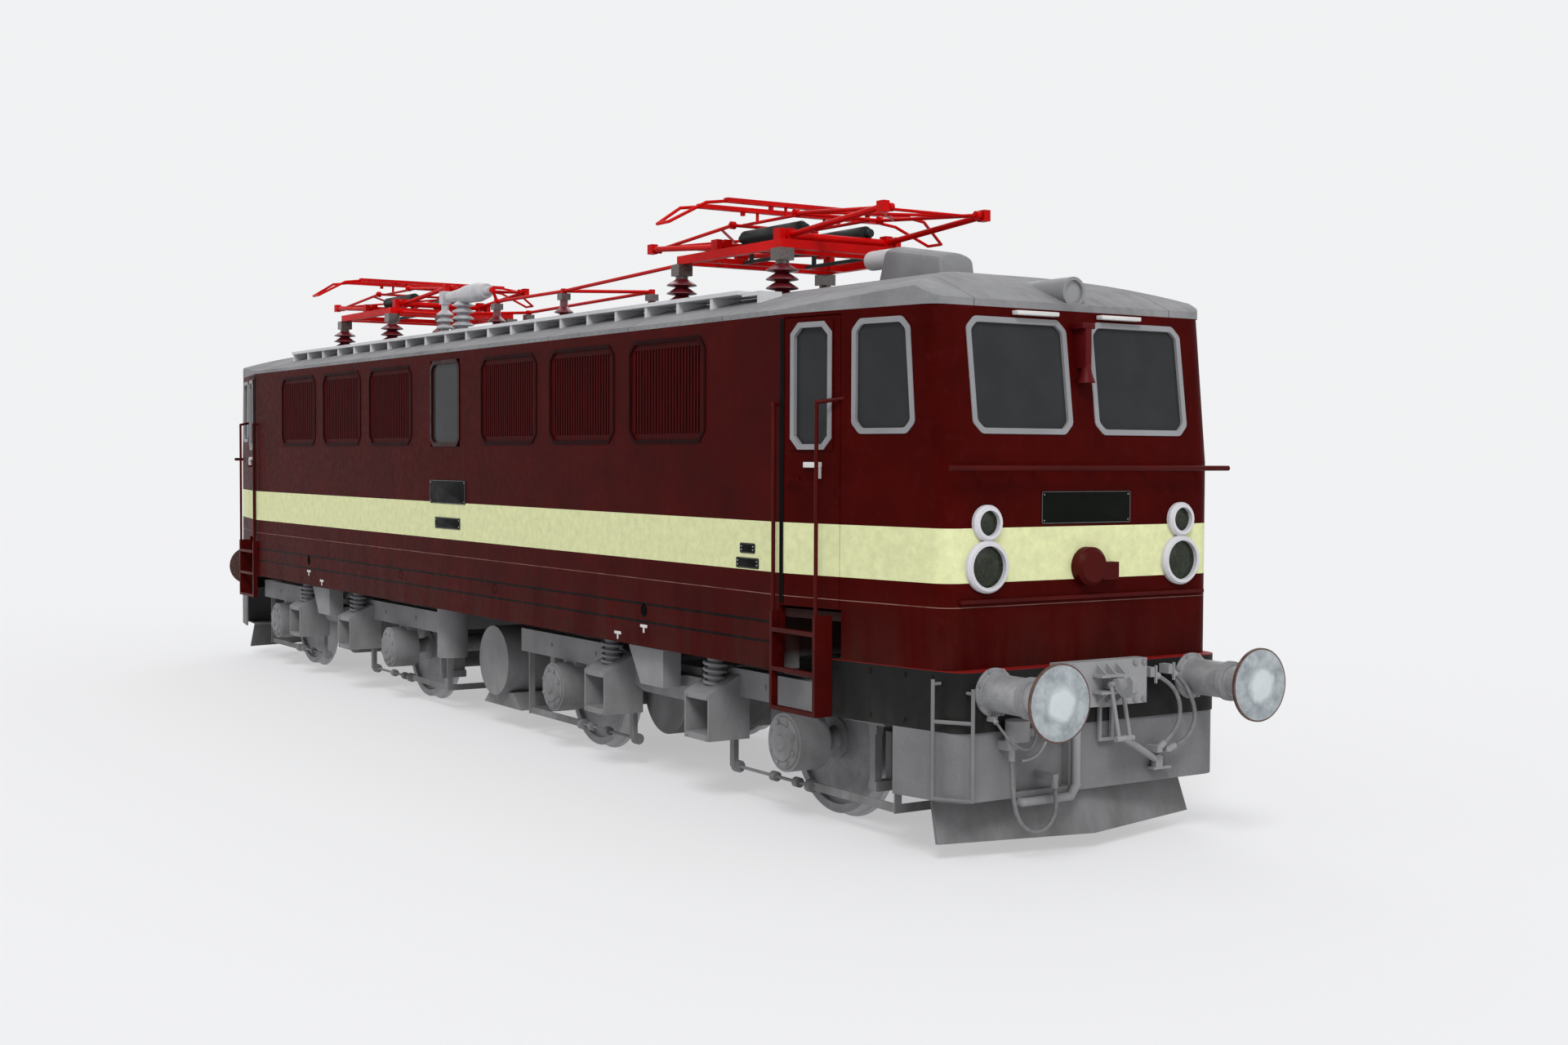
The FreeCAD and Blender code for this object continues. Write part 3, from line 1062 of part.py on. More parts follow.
# ---------------------------------------------------------------- roof gear
walk_items = []
walk_z = (S.walk_top - S.walk_thick, S.walk_top)
for word, side in SIDES:
    parts = [box("plank_" + word, (S.walk_start, S.walk_end),
                 (side * S.walk_inner, side * S.walk_outer), walk_z),
             box("plank_step_" + word, (S.walk_end, S.walk_step_end),
                 (side * (S.walk_inner + S.walk_post), side * (S.walk_outer - S.walk_post)),
                 (walk_z[0] - S.walk_step_drop, S.walk_top - S.walk_step_drop))]
    posts = int((S.walk_end - S.walk_start) // S.walk_post_pitch) + 1
    for number in range(posts):
        x = S.walk_start + S.walk_post / 2 + number * S.walk_post_pitch
        parts.append(box("walk_post_%s_%d" % (word, number), (x, x + S.walk_post),
                         (side * (S.walk_inner + S.walk_post / 4),
                          side * (S.walk_outer - S.walk_post / 4)),
                         (S.eave + S.roof_rim + 1, walk_z[1] - 1)))
    parts.append(box("walk_foot_" + word, (S.walk_step_end - S.walk_post, S.walk_step_end),
                     (side * (S.walk_inner + S.walk_post), side * (S.walk_outer - S.walk_post)),
                     (S.eave + S.roof_rim + 1, walk_z[1] - S.walk_step_drop - 1)))
    walk_items.append(above_roof("walkway_" + word, fuse("walkway_raw_" + word, parts)))
node("roof_walkways", group("walkway_set", walk_items))

hood_points = [
    (S.hood_start, S.eave + S.nose_lean), (S.hood_start, 3940), (S.hood_start + 80, 4130),
    (S.hood_start + 296, S.hood_top), (S.hood_end - 232, S.hood_top - 111),
    (S.hood_end - 88, S.hood_top - 168), (S.hood_end - 4, 3864), (S.hood_end, S.eave + S.nose_lean)]
hood_flat = pad("hood_flat", "y", hood_points, (-S.hood_half, S.hood_half))


def hood_edge(edge):
    """The long edges round the hood's two flanks."""
    centre = edge.CenterOfMass
    flank = abs(abs(centre.y) - S.hood_half) < 1 and abs(edge.tangentAt(edge.FirstParameter).y) < 0.1
    return flank and centre.z > S.eave + 2 * S.nose_lean


hood = rounded("hood_round", hood_flat, S.hood_round, hood_edge)
stub = rod("hood_stub", "x", S.stub_radius, (S.stub_start, S.hood_start + 4 * S.stub_radius), 0,
           S.stub_axis - S.stub_radius * 1.2)
node("roof_hoods", group("hood_set", [above_roof("hood", fuse("hood_raw", [hood, stub]))]))


def insulator(name, scale, top, sheds_top):
    """A ribbed post about the origin's upright axis, its foot deep in the roof."""
    shed, core = S.shed_radius * scale, S.core_radius * scale
    foot = S.eave + S.roof_rim + S.wall
    profile = [(foot, 0), (foot, core * 1.35)]
    level = S.sheds_low
    profile += [(level, core * 1.35), (level, core)]
    number = 0
    while level + S.shed_pitch < sheds_top:
        profile += [(level + S.shed_drop * 0.35, shed), (level + S.shed_drop * 0.6, shed),
                    (level + S.shed_pitch * 0.95, core)]
        level = S.sheds_low + (number + 1) * S.shed_pitch
        number += 1
    profile += [(sheds_top, core), (sheds_top, 0)]
    cap = box(name + "_cap", (-S.cap_half * scale, S.cap_half * scale),
              (-S.cap_half * scale, S.cap_half * scale), (sheds_top, top))
    return fuse(name, [spun(name + "_sheds", "z", profile), cap])


large_post = insulator("large_post", 1, S.frame_low, S.collar)
small_post = insulator("small_post", S.small_scale, S.bar_axis - S.bar_clamp,
                       S.bar_axis - S.bar_radius - S.shed_pitch)
POSTS = [(end * S.panto_x + px * S.panto_post_x, py * S.panto_post_y)
         for end in (-1, 1) for px in (-1, 1) for py in (-1, 1)]
SUPPORTS = [(-600, -640), (860, -620), (-2496, -452), (-1740, 250), (1260, 100)]
post_items = []
for kind, item, places in (("large", large_post, POSTS), ("small", small_post, SUPPORTS)):
    for place, (x, y) in enumerate(places):
        tag = "%s_post_%d" % (kind, place)
        post_items.append(above_roof(tag + "_trimmed", moved(tag, item, x=x, y=y)))
node("roof_insulators", group("insulator_set", post_items))

# bus bars: from the rear pantograph through the circuit breaker to the front one
frame_end = S.panto_x - S.panto_post_x - S.frame_beam / 2
thin_top = (S.breaker_thin_x, -S.breaker_y, S.breaker_thin_top)
RUNS = [
    [(-frame_end, -640, S.frame_low + 20), (S.frame_beam - frame_end, -640, S.frame_low + 20),
     (-2496, -452, S.bar_axis),
     (S.breaker_thin_x - S.cap_half * S.small_scale, -S.breaker_y, S.bar_axis)],
    [(S.breaker_end, -S.breaker_y, S.breaker_axis),
     (S.breaker_end + 2 * S.bar_clamp, -S.breaker_y, S.breaker_axis), (-600, -640, S.bar_axis),
     (860, -620, S.bar_axis), (frame_end - S.frame_beam, -640, S.frame_low + 20),
     (frame_end, -640, S.frame_low + 20)],
    [(-2496, -452, S.bar_axis), (-1740, 250, S.bar_axis), (1260, 100, S.bar_axis),
     (860, -620, S.bar_axis)]]
bus = []
for place, run in enumerate(RUNS):
    bus += [bar("bus_%d_%d" % (place, step), start, end, S.bar_radius)
            for step, (start, end) in enumerate(zip(run, run[1:]))]
    bus += [box("bus_clamp_%d_%d" % (place, step), (x - S.bar_clamp, x + S.bar_clamp),
                (y - S.bar_clamp, y + S.bar_clamp), (z - S.bar_clamp, z + S.bar_clamp))
            for step, (x, y, z) in enumerate(run[1:-1])]
node("bus_bars", fuse("bus", bus))

bulb = S.breaker_bulb
breaker_body = spun("breaker_body", "x", [
    (S.breaker_start, 0), (S.breaker_start, S.breaker_neck), (S.breaker_start + 3 * bulb, bulb * 0.75),
    (S.breaker_start + 5 * bulb, bulb), (S.breaker_end - 3 * bulb, bulb * 1.05),
    (S.breaker_end - bulb, bulb * 0.8), (S.breaker_end - bulb, bulb * 0.55),
    (S.breaker_end, bulb * 0.4), (S.breaker_end, 0)], (0, -S.breaker_y, S.breaker_axis))
thin_post = insulator("breaker_thin", S.small_scale, S.breaker_thin_top,
                      S.breaker_thin_top - 2 * S.shed_pitch)
thick_post = insulator("breaker_thick", 0.9, S.breaker_axis, S.breaker_axis - S.bar_radius)
breaker = fuse("breaker_raw", [
    breaker_body, moved("breaker_thin_at", thin_post, x=S.breaker_thin_x, y=-S.breaker_y),
    moved("breaker_thick_at", thick_post, x=S.breaker_thick_x, y=-S.breaker_y),
    rod("breaker_link", "x", S.bar_radius, (S.breaker_thin_x, S.breaker_start), -S.breaker_y,
        S.breaker_axis)])
node("circuit_breaker", above_roof("breaker", breaker))


# ---------------------------------------------------------------- pantographs
def panto_base():
    reach_x, reach_y, beam = S.panto_post_x, S.panto_post_y, S.frame_beam / 2
    level = (S.frame_low, S.frame_high)
    parts, holes = [], []
    for word, side in SIDES:
        parts.append(box("base_beam_" + word, (-reach_x - beam, reach_x + beam),
                         (side * reach_y - beam, side * reach_y + beam), level))
        parts.append(box("base_cross_" + word, (side * reach_x - beam, side * reach_x + beam),
                         (-reach_y, reach_y), level))
        middle = side * S.shaft_x
        parts.append(box("shaft_cross_" + word, (middle - beam, middle + beam),
                         (-reach_y, reach_y), (S.frame_low, S.frame_low + S.frame_beam * 0.7)))
        for number, place in enumerate((-1, 1)):
            y = place * S.bearing_y
            parts.append(box("bearing_%s_%d" % (word, number), (middle - beam * 1.6, middle + beam * 1.6),
                             (y - S.bearing_half, y + S.bearing_half),
                             (S.frame_low, S.shaft_axis + S.shaft_radius * 1.6)))
        holes.append(rod("bearing_hole_" + word, "y", S.pin_radius + S.pin_gap,
                         (-reach_y, reach_y), middle, S.shaft_axis))
    return cut("panto_base", fuse("panto_base_solid", parts), holes)


def lower_arm():
    """Shaft with two tubes out to the knuckle; built for the +X side of a pantograph."""
    x, z, far, high = S.shaft_x, S.shaft_axis, S.knuckle_x, S.knuckle_axis
    parts = [bar("arm_shaft", (x, -S.shaft_half, z), (x, S.shaft_half, z), S.shaft_radius),
             bar("arm_pins", (x, -S.bearing_y - S.bearing_half, z),
                 (x, S.bearing_y + S.bearing_half, z), S.pin_radius)]
    knuckle = S.knuckle_half
    for word, side in SIDES:
        y = side * S.arm_y
        parts.append(bar("arm_tube_" + word, (x, y, z), (far, y, high), S.arm_radius))
        parts.append(box("arm_root_" + word, (x - knuckle, x + knuckle),
                         (y - knuckle * 0.8, y + knuckle * 0.8), (z - knuckle, z + knuckle * 1.3)))
        parts.append(box("knuckle_" + word, (far - knuckle, far + knuckle),
                         (y - knuckle * 0.7, y + knuckle * 0.7), (high - knuckle, high + knuckle)))
        parts.append(bar("knuckle_pin_" + word, (far, y, high),
                         (far, side * (S.upper_arm_y - S.eye_half - 10), high), S.pin_radius))
    return fuse("lower_arm", parts)


def upper_arm(name, gap):
    """Two tubes from the knuckle up to the head, with a cross tube and a diagonal."""
    x, z = S.shaft_x, 2 * S.knuckle_axis - S.shaft_axis
    far, high, y = S.knuckle_x, S.knuckle_axis, S.upper_arm_y
    parts = []
    for word, side in SIDES:
        parts.append(bar("%s_tube_%s" % (name, word), (far, side * y, high), (x, side * y, z),
                         S.upper_radius))
        for tag, eye_x, eye_z in (("low", far, high), ("top", x, z)):
            parts.append(rod("%s_eye_%s_%s" % (name, tag, word), "y", S.eye_radius,
                             (side * y - S.eye_half, side * y + S.eye_half), eye_x, eye_z))
    near = (far + (x - far) * 0.12, high + (z - high) * 0.12)
    top = (far + (x - far) * 0.85, high + (z - high) * 0.85)
    for word, start, end in (("cross", (near[0], -y, near[1]), (near[0], y, near[1])),
                             ("brace_a", (near[0], -y, near[1]), (top[0], y, top[1])),
                             ("brace_b", (near[0], y, near[1]), (top[0], -y, top[1]))):
        parts.append(bar("%s_%s" % (name, word), start, end, S.upper_radius * 0.8))
    holes = [rod("%s_low_hole" % name, "y", S.pin_radius + S.pin_gap, (-2 * y, 2 * y), far, high),
             rod("%s_top_hole" % name, "y", S.pin_radius + gap, (-2 * y, 2 * y), x, z)]
    return cut(name, fuse(name + "_solid", parts), holes)


def pan_head():
    """Two contact strips with horns, on a frame that turns on the upper arms' ends."""
    z, top, x = 2 * S.knuckle_axis - S.shaft_axis, S.strip_top, S.strip_x
    low, half = top - S.strip_thick, S.strip_width / 2
    parts = []
    for word, side in SIDES:
        middle = side * x
        parts.append(box("strip_" + word, (middle - half, middle + half),
                         (-S.strip_flat, S.strip_flat), (low, top)))
        for number, place in enumerate((-1, 1)):
            tag = "%s_%d" % (word, number)
            root = (middle, place * (S.strip_flat - S.strip_width), top - S.strip_thick / 2)
            bend = (middle * 0.95, place * S.horn_bend_y, S.horn_bend)
            tip = (side * S.horn_tip_x, place * S.horn_tip_y, S.horn_tip)
            parts.append(pipe("horn_" + tag, [root, bend, tip], S.horn_radius))
            parts.append(ball("horn_ball_" + tag, tip, S.horn_radius))
            parts.append(bar("head_post_" + tag, (middle, place * S.head_tube_y, z),
                             (middle, place * S.head_tube_y, low + 5), S.horn_radius))
            parts.append(box("head_stub_" + tag, (middle - half / 2, middle + half / 2),
                             (place * S.stub_y - half / 2, place * S.stub_y + half / 2),
                             (low - S.stub_drop / 3, low + 2)))
        parts.append(bar("horn_tip_" + word, (-S.horn_tip_x, side * S.horn_tip_y, S.horn_tip),
                         (S.horn_tip_x, side * S.horn_tip_y, S.horn_tip), S.horn_radius))
        parts.append(bar("head_tube_" + word, (-S.shaft_x, side * S.head_tube_y, z),
                         (S.shaft_x, side * S.head_tube_y, z), S.horn_radius))
        pins = S.upper_arm_y + S.eye_half + 15
        parts.append(bar("head_pin_" + word, (side * S.shaft_x, -pins, z),
                         (side * S.shaft_x, pins, z), S.pin_radius))
    return fuse("pan_head", parts)


base_item, head_item = panto_base(), pan_head()
arm_item, upper_item, open_item = lower_arm(), upper_arm("upper_arm", S.pin_gap), upper_arm(
    "open_arm", S.open_pin_gap)
cylinders = []
reach = S.shaft_x - S.shaft_radius - S.fit_gap
for word, side in SIDES:
    profile = [(-reach, 0), (-reach, S.pin_radius), (-reach * 0.86, S.pin_radius),
               (-reach * 0.86, S.spring_cylinder_radius), (reach * 0.86, S.spring_cylinder_radius),
               (reach * 0.86, S.pin_radius), (reach, S.pin_radius), (reach, 0)]
    cylinder = spun("spring_case_" + word, "x", profile,
                    (0, side * S.spring_cylinder_y, S.spring_cylinder_axis))
    foot = [box("spring_foot_%s_%d" % (word, number),
                (place * S.shaft_x * 0.7 - S.pin_radius, place * S.shaft_x * 0.7 + S.pin_radius),
                (side * S.spring_cylinder_y - S.pin_radius, side * S.spring_cylinder_y + S.pin_radius),
                (S.frame_low, S.spring_cylinder_axis))
            for number, place in enumerate((-1, 1))]
    bearer = box("spring_bearer_" + word, (-S.shaft_x + S.frame_beam / 2, S.shaft_x - S.frame_beam / 2),
                 (side * S.spring_cylinder_y - S.pin_radius, side * S.spring_cylinder_y + S.pin_radius),
                 (S.frame_low, S.frame_low + 2 * S.pin_radius))
    cylinders.append(fuse("spring_cylinder_" + word, [cylinder, bearer] + foot))
springs = group("spring_pair", cylinders)
BACK = FreeCAD.Rotation(V(0, 0, 1), 180)
for kind, item in (("pantograph_bases", base_item), ("pantograph_springs", springs)):
    node(kind, group(kind + "_set", [moved("%s_%s" % (kind, word), item, x=end * S.panto_x)
                                     for word, end in ENDS]))
for word, end in ENDS:
    spot = V(end * S.panto_x, 0, 0)
    for name, item, turn in (("lower_arm_%s_a", arm_item, FreeCAD.Rotation()),
                             ("lower_arm_%s_b", arm_item, BACK),
                             ("upper_arm_%s_a", upper_item, FreeCAD.Rotation()),
                             ("upper_arm_%s_b", open_item, BACK),
                             ("pan_head_%s", head_item, FreeCAD.Rotation())):
        tag = name % word
        node(tag, group(tag + "_group", [at(tag + "_at", item, FreeCAD.Placement(spot, turn))]))

# ---------------------------------------------------------------- wheelsets
back, face = S.wheel_back, S.wheel_face
tread, flange = S.wheel_radius, S.axle_axis
rim = tread - S.rim_depth_in
half_profile = [
    (0, 0), (0, S.axle_radius), (back - 20, S.axle_radius), (back - 10, S.hub_radius),
    (back + 20, S.hub_radius), (back + 45, rim), (back, rim), (back, flange - 12),
    (back + 10, flange), (back + 20, flange), (back + S.flange_thick, tread + 4), (face, tread - 6),
    (face, rim), (face - 40, rim), (face - 10, S.hub_radius), (face + 10, S.hub_radius),
    (face + 20, S.axle_radius), (face + 60, S.journal_radius), (S.journal_end, S.journal_radius),
    (S.journal_end, 0)]
half_wheels = spun("half_wheelset", "y", half_profile, (0, 0, S.axle_axis))
wheelset = fuse("wheelset", both_ends("half_wheelset", half_wheels))
AXLES = [(end, place) for end in (1, -1) for place in (1, -1)]
for number, (end, place) in enumerate(AXLES, start=1):
    tag = "wheelset_%d" % number
    node(tag, group(tag + "_group", [moved(tag + "_at", wheelset,
                                           x=end * S.bogie_x + place * S.axle_x)]))


# ---------------------------------------------------------------- bogie frames
def bogie_frame():
    half, low, high = S.frame_half, S.frame_bottom, S.frame_top
    belly, run = S.belly_half, S.belly_half + S.belly_slope
    beam_points = [(-half, low), (-run, low), (-belly, S.belly_low), (belly, S.belly_low),
                   (run, low), (half, low), (half, high), (run, high), (belly, S.belly_top),
                   (-belly, S.belly_top), (-run, high), (-half, high)]
    parts, holes = [], []
    for word, side in SIDES:
        beam = (side * S.frame_y, side * (S.frame_y + S.frame_thick))
        parts.append(pad("side_beam_" + word, "y", beam_points, beam))
        for number, place in enumerate((-1, 1)):
            tag = "%s_%d" % (word, number)
            x = place * S.axle_x
            parts.append(rod("axle_box_" + tag, "y", S.box_radius,
                             (side * S.box_inner, side * S.box_face), x, S.axle_axis))
            parts.append(box("box_post_" + tag, (x - S.box_post / 2, x + S.box_post / 2),
                             (side * (S.frame_y + 5), side * (S.frame_y + S.frame_thick - 5)),
                             (S.axle_axis, low + 10)))
            holes.append(rod("journal_hole_" + tag, "y", S.journal_radius + S.pin_gap,
                             (side * S.hanger_y, side * (S.journal_end + 5)), x, S.axle_axis))
            x = place * S.spring_x
            wide = (x - S.carrier_half, x + S.carrier_half)
            outer = [(side * S.carrier_face, S.carrier_low),
                     (side * S.carrier_face, S.carrier_out_top),
                     (side * S.carrier_inner, S.carrier_in_top),
                     (side * S.carrier_inner, S.carrier_low)]
            carrier = pad("carrier_" + tag, "x", outer, wide)
            pocket = box("pocket_" + tag, (wide[0] + S.carrier_plate, wide[1] - S.carrier_plate),
                         (side * (S.carrier_face + 10), side * (S.carrier_inner + S.frame_thick)),
                         (S.carrier_low + S.carrier_edge, S.carrier_out_top - S.carrier_edge))
            parts.append(cut("open_carrier_" + tag, carrier, [pocket]))
            parts.append(rod("spring_post_" + tag, "z", S.spring_radius,
                             (S.carrier_out_top, S.spring_top), x, side * S.spring_y))
    level = (low + 20, high - 30)
    wide_y = S.frame_y + 20
    for word, place in (("front", 1), ("rear", -1)):
        parts.append(box("end_beam_" + word, (place * half, place * (half - S.end_beam)),
                         (-wide_y, wide_y), level))
    parts.append(box("transom", (-S.transom_half, S.transom_half), (-wide_y, wide_y),
                     (S.frame_bottom - 40, S.belly_top + 60)))
    holes.append(rod("pivot_hole", "z", S.pivot_radius + S.pivot_gap,
                     (S.belly_low - S.wall, S.spring_top), 0, 0))
    return cut("bogie_frame", fuse("bogie_frame_solid", parts), holes)


def bogie_gear():
    """Guard irons, brake rods and hangers, and sand boxes, outside the frame."""
    half, y, thick = S.frame_half, S.frame_y, S.guard_thick
    flat = (S.guard_low, S.guard_high)
    items = []
    for word, side in SIDES:
        parts = []
        line = (side * y - thick / 2, side * y + thick / 2)
        for end_word, end in ENDS:
            tag = "%s_%s" % (end_word, word)
            parts.append(box("guard_post_" + tag, (end * half, end * (half + thick)),
                             (side * y - 2 * thick, side * y + 2 * thick),
                             (S.guard_low, S.frame_top - 30)))
            parts.append(box("guard_bar_" + tag, (end * (half + thick), end * S.guard_bar_end),
                             line, flat))
            parts.append(bar("brake_rod_" + tag, (end * (S.guard_bar_end + 50), side * y, S.rod_axis),
                             (end * S.rod_end, side * y, S.rod_axis), S.rod_radius))
            for number, place in enumerate((S.rod_end, S.rod_end * 1.65, S.rod_end * 2.03,
                                            S.guard_bar_end)):
                size = S.knob_radius * (1 if number in (0, 3) else 0.8)
                parts.append(rod("knob_%s_%d" % (tag, number), "x", size,
                                 (end * place - S.knob_half, end * place + S.knob_half), side * y,
                                 S.rod_axis))
            parts.append(box("rod_hanger_" + tag, (end * S.rod_end - S.knob_half,
                                                  end * S.rod_end + S.knob_half),
                             (side * (y + thick), side * (y + 4 * thick)),
                             (S.rod_axis, S.belly_low + 40)))
            near, far = S.hanger_x, S.hanger_x + S.hanger_wide
            outer_y, inner_y = S.hanger_y + S.hanger_half, S.hanger_y - S.hanger_half
            mid = (S.wheel_back + S.wheel_face) / 2
            parts += [
                box("brake_hanger_" + tag, (end * near, end * far), (side * inner_y, side * outer_y),
                    (S.shoe_high, S.frame_bottom + 40)),
                box("brake_link_" + tag, (end * (near + 15), end * (far - 15)),
                    (side * inner_y, side * outer_y), (S.hanger_low, S.shoe_high)),
                box("brake_bracket_" + tag, (end * near, end * far), (side * inner_y, side * y),
                    (S.frame_bottom, S.frame_bottom + 80)),
                box("brake_beam_" + tag, (end * near, end * far),
                    (side * (mid - S.shoe_half), side * outer_y), (S.hanger_low, S.hanger_low + 70)),
                box("brake_shoe_" + tag, (end * (near - 5), end * (near + 55)),
                    (side * (mid - S.shoe_half), side * (mid + S.shoe_half)),
                    (S.hanger_low, S.shoe_high))]
        items.append(fuse("gear_side_" + word, parts))
    for end_word, end in ENDS:
        items.append(box("guard_cross_" + end_word, (end * half, end * (half + thick)),
                         (2 * thick - y, y - 2 * thick), flat))
    sand = [(S.sand_start, S.sand_high), (S.sand_foot, S.sand_low), (S.sand_end, S.sand_low),
            (S.sand_end, S.sand_high)]
    sand_box = pad("sand_box", "y", sand, (-S.sand_face, -S.sand_back))
    sand_foot = box("sand_bracket", (S.sand_foot, S.sand_end - S.wall),
                    (-S.sand_back, -S.frame_y - S.frame_thick),
                    (S.sand_low, S.belly_top))
    sander = fuse("sander", [sand_box, sand_foot])
    items += both_ends("sander", sander)
    return cut("bogie_gear", fuse("bogie_gear_solid", items), [frame_item])


frame_item = bogie_frame()
gear_item = bogie_gear()
motors = []
for word, end in ENDS:
    nose_x = S.transom_half + S.fit_gap
    motors.append(fuse("motor_" + word, [
        rod("motor_case_" + word, "y", S.motor_radius, (-S.motor_half, S.motor_half),
            end * S.motor_x, S.axle_axis + S.motor_rise),
        box("motor_nose_" + word, (end * nose_x, end * (nose_x + S.motor_nose)),
            (-S.pivot_radius, S.pivot_radius), (S.frame_bottom + 20, S.belly_top))]))
motor_item = group("motor_pair", motors)
for word, end in ENDS:
    spot = FreeCAD.Placement(V(end * S.bogie_x, 0, 0), FreeCAD.Rotation(V(0, 0, 1), 90 - end * 90))
    for name, item in (("bogie_frame_", frame_item), ("bogie_gear_", gear_item),
                       ("motors_", motor_item)):
        node(name + word, group(name + word + "_group", [at(name + word + "_at", item, spot)]))

# ---------------------------------------------------------------- underfloor tanks
tank = fuse("tank", [
    rod("tank_drum", "y", S.tank_radius, (-S.tank_half, S.tank_half), S.tank_x, S.tank_axis),
    box("tank_hangers", (S.tank_x - S.tank_hanger, S.tank_x + S.tank_hanger),
        (-S.sill_y - S.sill_wide, S.sill_y + S.sill_wide), (S.tank_axis, S.sill_low)),
    pad("tank_cradle", "y", [
        (S.tank_x - S.cradle_half, S.cradle_low), (S.tank_x + S.cradle_half, S.cradle_low),
        (S.tank_x + S.cradle_half * 0.6, S.cradle_high),
        (S.tank_x - S.cradle_half * 0.6, S.cradle_high)],
        (S.sill_wide - S.tank_half, S.tank_half - S.sill_wide))])
uprights = [rod("upright_" + word, "z", S.upright_radius, (S.upright_low, floor_low - S.fit_gap),
                S.upright_x, side * S.upright_y) for word, side in SIDES]
node("underfloor_tanks", group("tank_set", [tank] + uprights))

# ---------------------------------------------------------------- check and write
doc.recompute()
for item in doc.Objects:
    if "Invalid" in item.State or "Error" in item.State:
        raise SystemExit("failed: %s %s" % (item.Name, item.State))
for item in NODES:
    if item.Shape.isNull() or not item.Shape.isValid():
        raise SystemExit("bad shape: " + item.Label)
for item in NODES:
    item.Shape.exportStep("parts/%s.step" % item.Label)
    print("%-22s %3d solids %9.1f l" % (item.Label, len(item.Shape.Solids), item.Shape.Volume / 1e6))
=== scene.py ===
"""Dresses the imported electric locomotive: paint, plates, trim, hoses, springs and a studio.

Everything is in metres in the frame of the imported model: +X towards the front cab, +Y to its
left, +Z up from the tips of the wheel flanges. The rear end repeats the front one turned half
round.
"""
import math

import bmesh
import bpy
from bpy.props import FloatProperty, FloatVectorProperty, IntProperty, PointerProperty
from mathutils import Matrix, Vector


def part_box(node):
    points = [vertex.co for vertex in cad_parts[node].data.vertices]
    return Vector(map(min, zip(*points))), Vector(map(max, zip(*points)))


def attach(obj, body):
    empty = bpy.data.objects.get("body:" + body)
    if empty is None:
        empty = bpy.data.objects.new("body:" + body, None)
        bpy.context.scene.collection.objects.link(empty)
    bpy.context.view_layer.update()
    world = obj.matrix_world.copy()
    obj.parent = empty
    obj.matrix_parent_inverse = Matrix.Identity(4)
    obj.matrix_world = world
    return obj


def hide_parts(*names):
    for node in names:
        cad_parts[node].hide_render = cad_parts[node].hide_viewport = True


bl_info = {
    "name": "Electric Locomotive Dressing",
    "version": (1, 0, 0),
    "blender": (4, 5, 0),
    "location": "3D View > Sidebar > Locomotive",
    "description": "Paint, plates, trim, hoses and springs for a four-axle electric locomotive",
    "category": "Object",
}

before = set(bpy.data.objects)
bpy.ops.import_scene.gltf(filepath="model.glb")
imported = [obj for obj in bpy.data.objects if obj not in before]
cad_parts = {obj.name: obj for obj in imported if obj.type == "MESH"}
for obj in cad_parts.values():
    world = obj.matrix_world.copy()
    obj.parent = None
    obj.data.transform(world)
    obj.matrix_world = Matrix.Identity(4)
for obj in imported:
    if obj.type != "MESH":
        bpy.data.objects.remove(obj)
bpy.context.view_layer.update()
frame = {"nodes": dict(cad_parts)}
NODES = frame["nodes"]
BODY = "car_body"
HALF_TURN = Matrix.Rotation(math.pi, 4, "Z")
ENDS = (("front", Matrix()), ("rear", HALF_TURN))
RIGHT, LEFT = -1, 1
FORWARD = Vector((1, 0, 0))

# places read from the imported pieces
WALL_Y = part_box("side_wall_left")[1].y
NOSE_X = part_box("cab_shell_front")[1].x
BAND_X, _, BAND_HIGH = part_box("end_bands")[1]
AXLES = [sum(corner.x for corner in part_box("wheelset_%d" % k)) / 2 for k in (1, 2)]
BOGIE_X, AXLE_X = (AXLES[0] + AXLES[1]) / 2, (AXLES[0] - AXLES[1]) / 2
AXLE_Z = sum(corner.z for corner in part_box("wheelset_1")) / 2
BUFFER_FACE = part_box("buffers")[1].x

# places as modelled: the cab's plan and its leaning front, buffers, a door's hinge edge and
# width, and the middle of a pantograph
SHOULDER_X, NOSE_HALF, WAIST_Z, EAVE_Z, NOSE_LEAN = 5.9, 1.171, 2.578, 3.584, 0.130
TAPER = (WALL_Y - NOSE_HALF) / (NOSE_X - SHOULDER_X)
BUFFER_Y, BUFFER_Z = 0.875, 1.111
DOOR_X, DOOR_WIDTH = 5.917, 0.5296
PANTOGRAPH_X = 4.0

# colours that are no setting
SOOT = (0.07, 0.062, 0.055)
# bright red of the end band's top ledge: its red paint, brightened by a painted highlight of the
# lit top face
LEDGE_RED_AND_HIGHLIGHT = (0.20, 0.008, 0.008)
LINE_BLACK = (0.004, 0.003, 0.003)
MARK_WHITE = (0.62, 0.61, 0.60)


def side_y(x):
    """Half width of the body at a distance x along it."""
    return WALL_Y - max(0.0, x - SHOULDER_X) * TAPER


def nose_x(z):
    """Face of the cab front at a height."""
    return NOSE_X - NOSE_LEAN * max(0.0, z - WAIST_Z) / (EAVE_Z - WAIST_Z)


# ---- settings
def colour(name, text, value):
    return FloatVectorProperty(name=name, description=text, default=value, size=3,
                               subtype="COLOR", min=0.0, max=1.0)


def length(name, text, value):
    return FloatProperty(name=name, description=text, default=value, unit="LENGTH", min=0.0)


def strength(name, text, value):
    return FloatProperty(name=name, description=text, default=value, min=0.0)


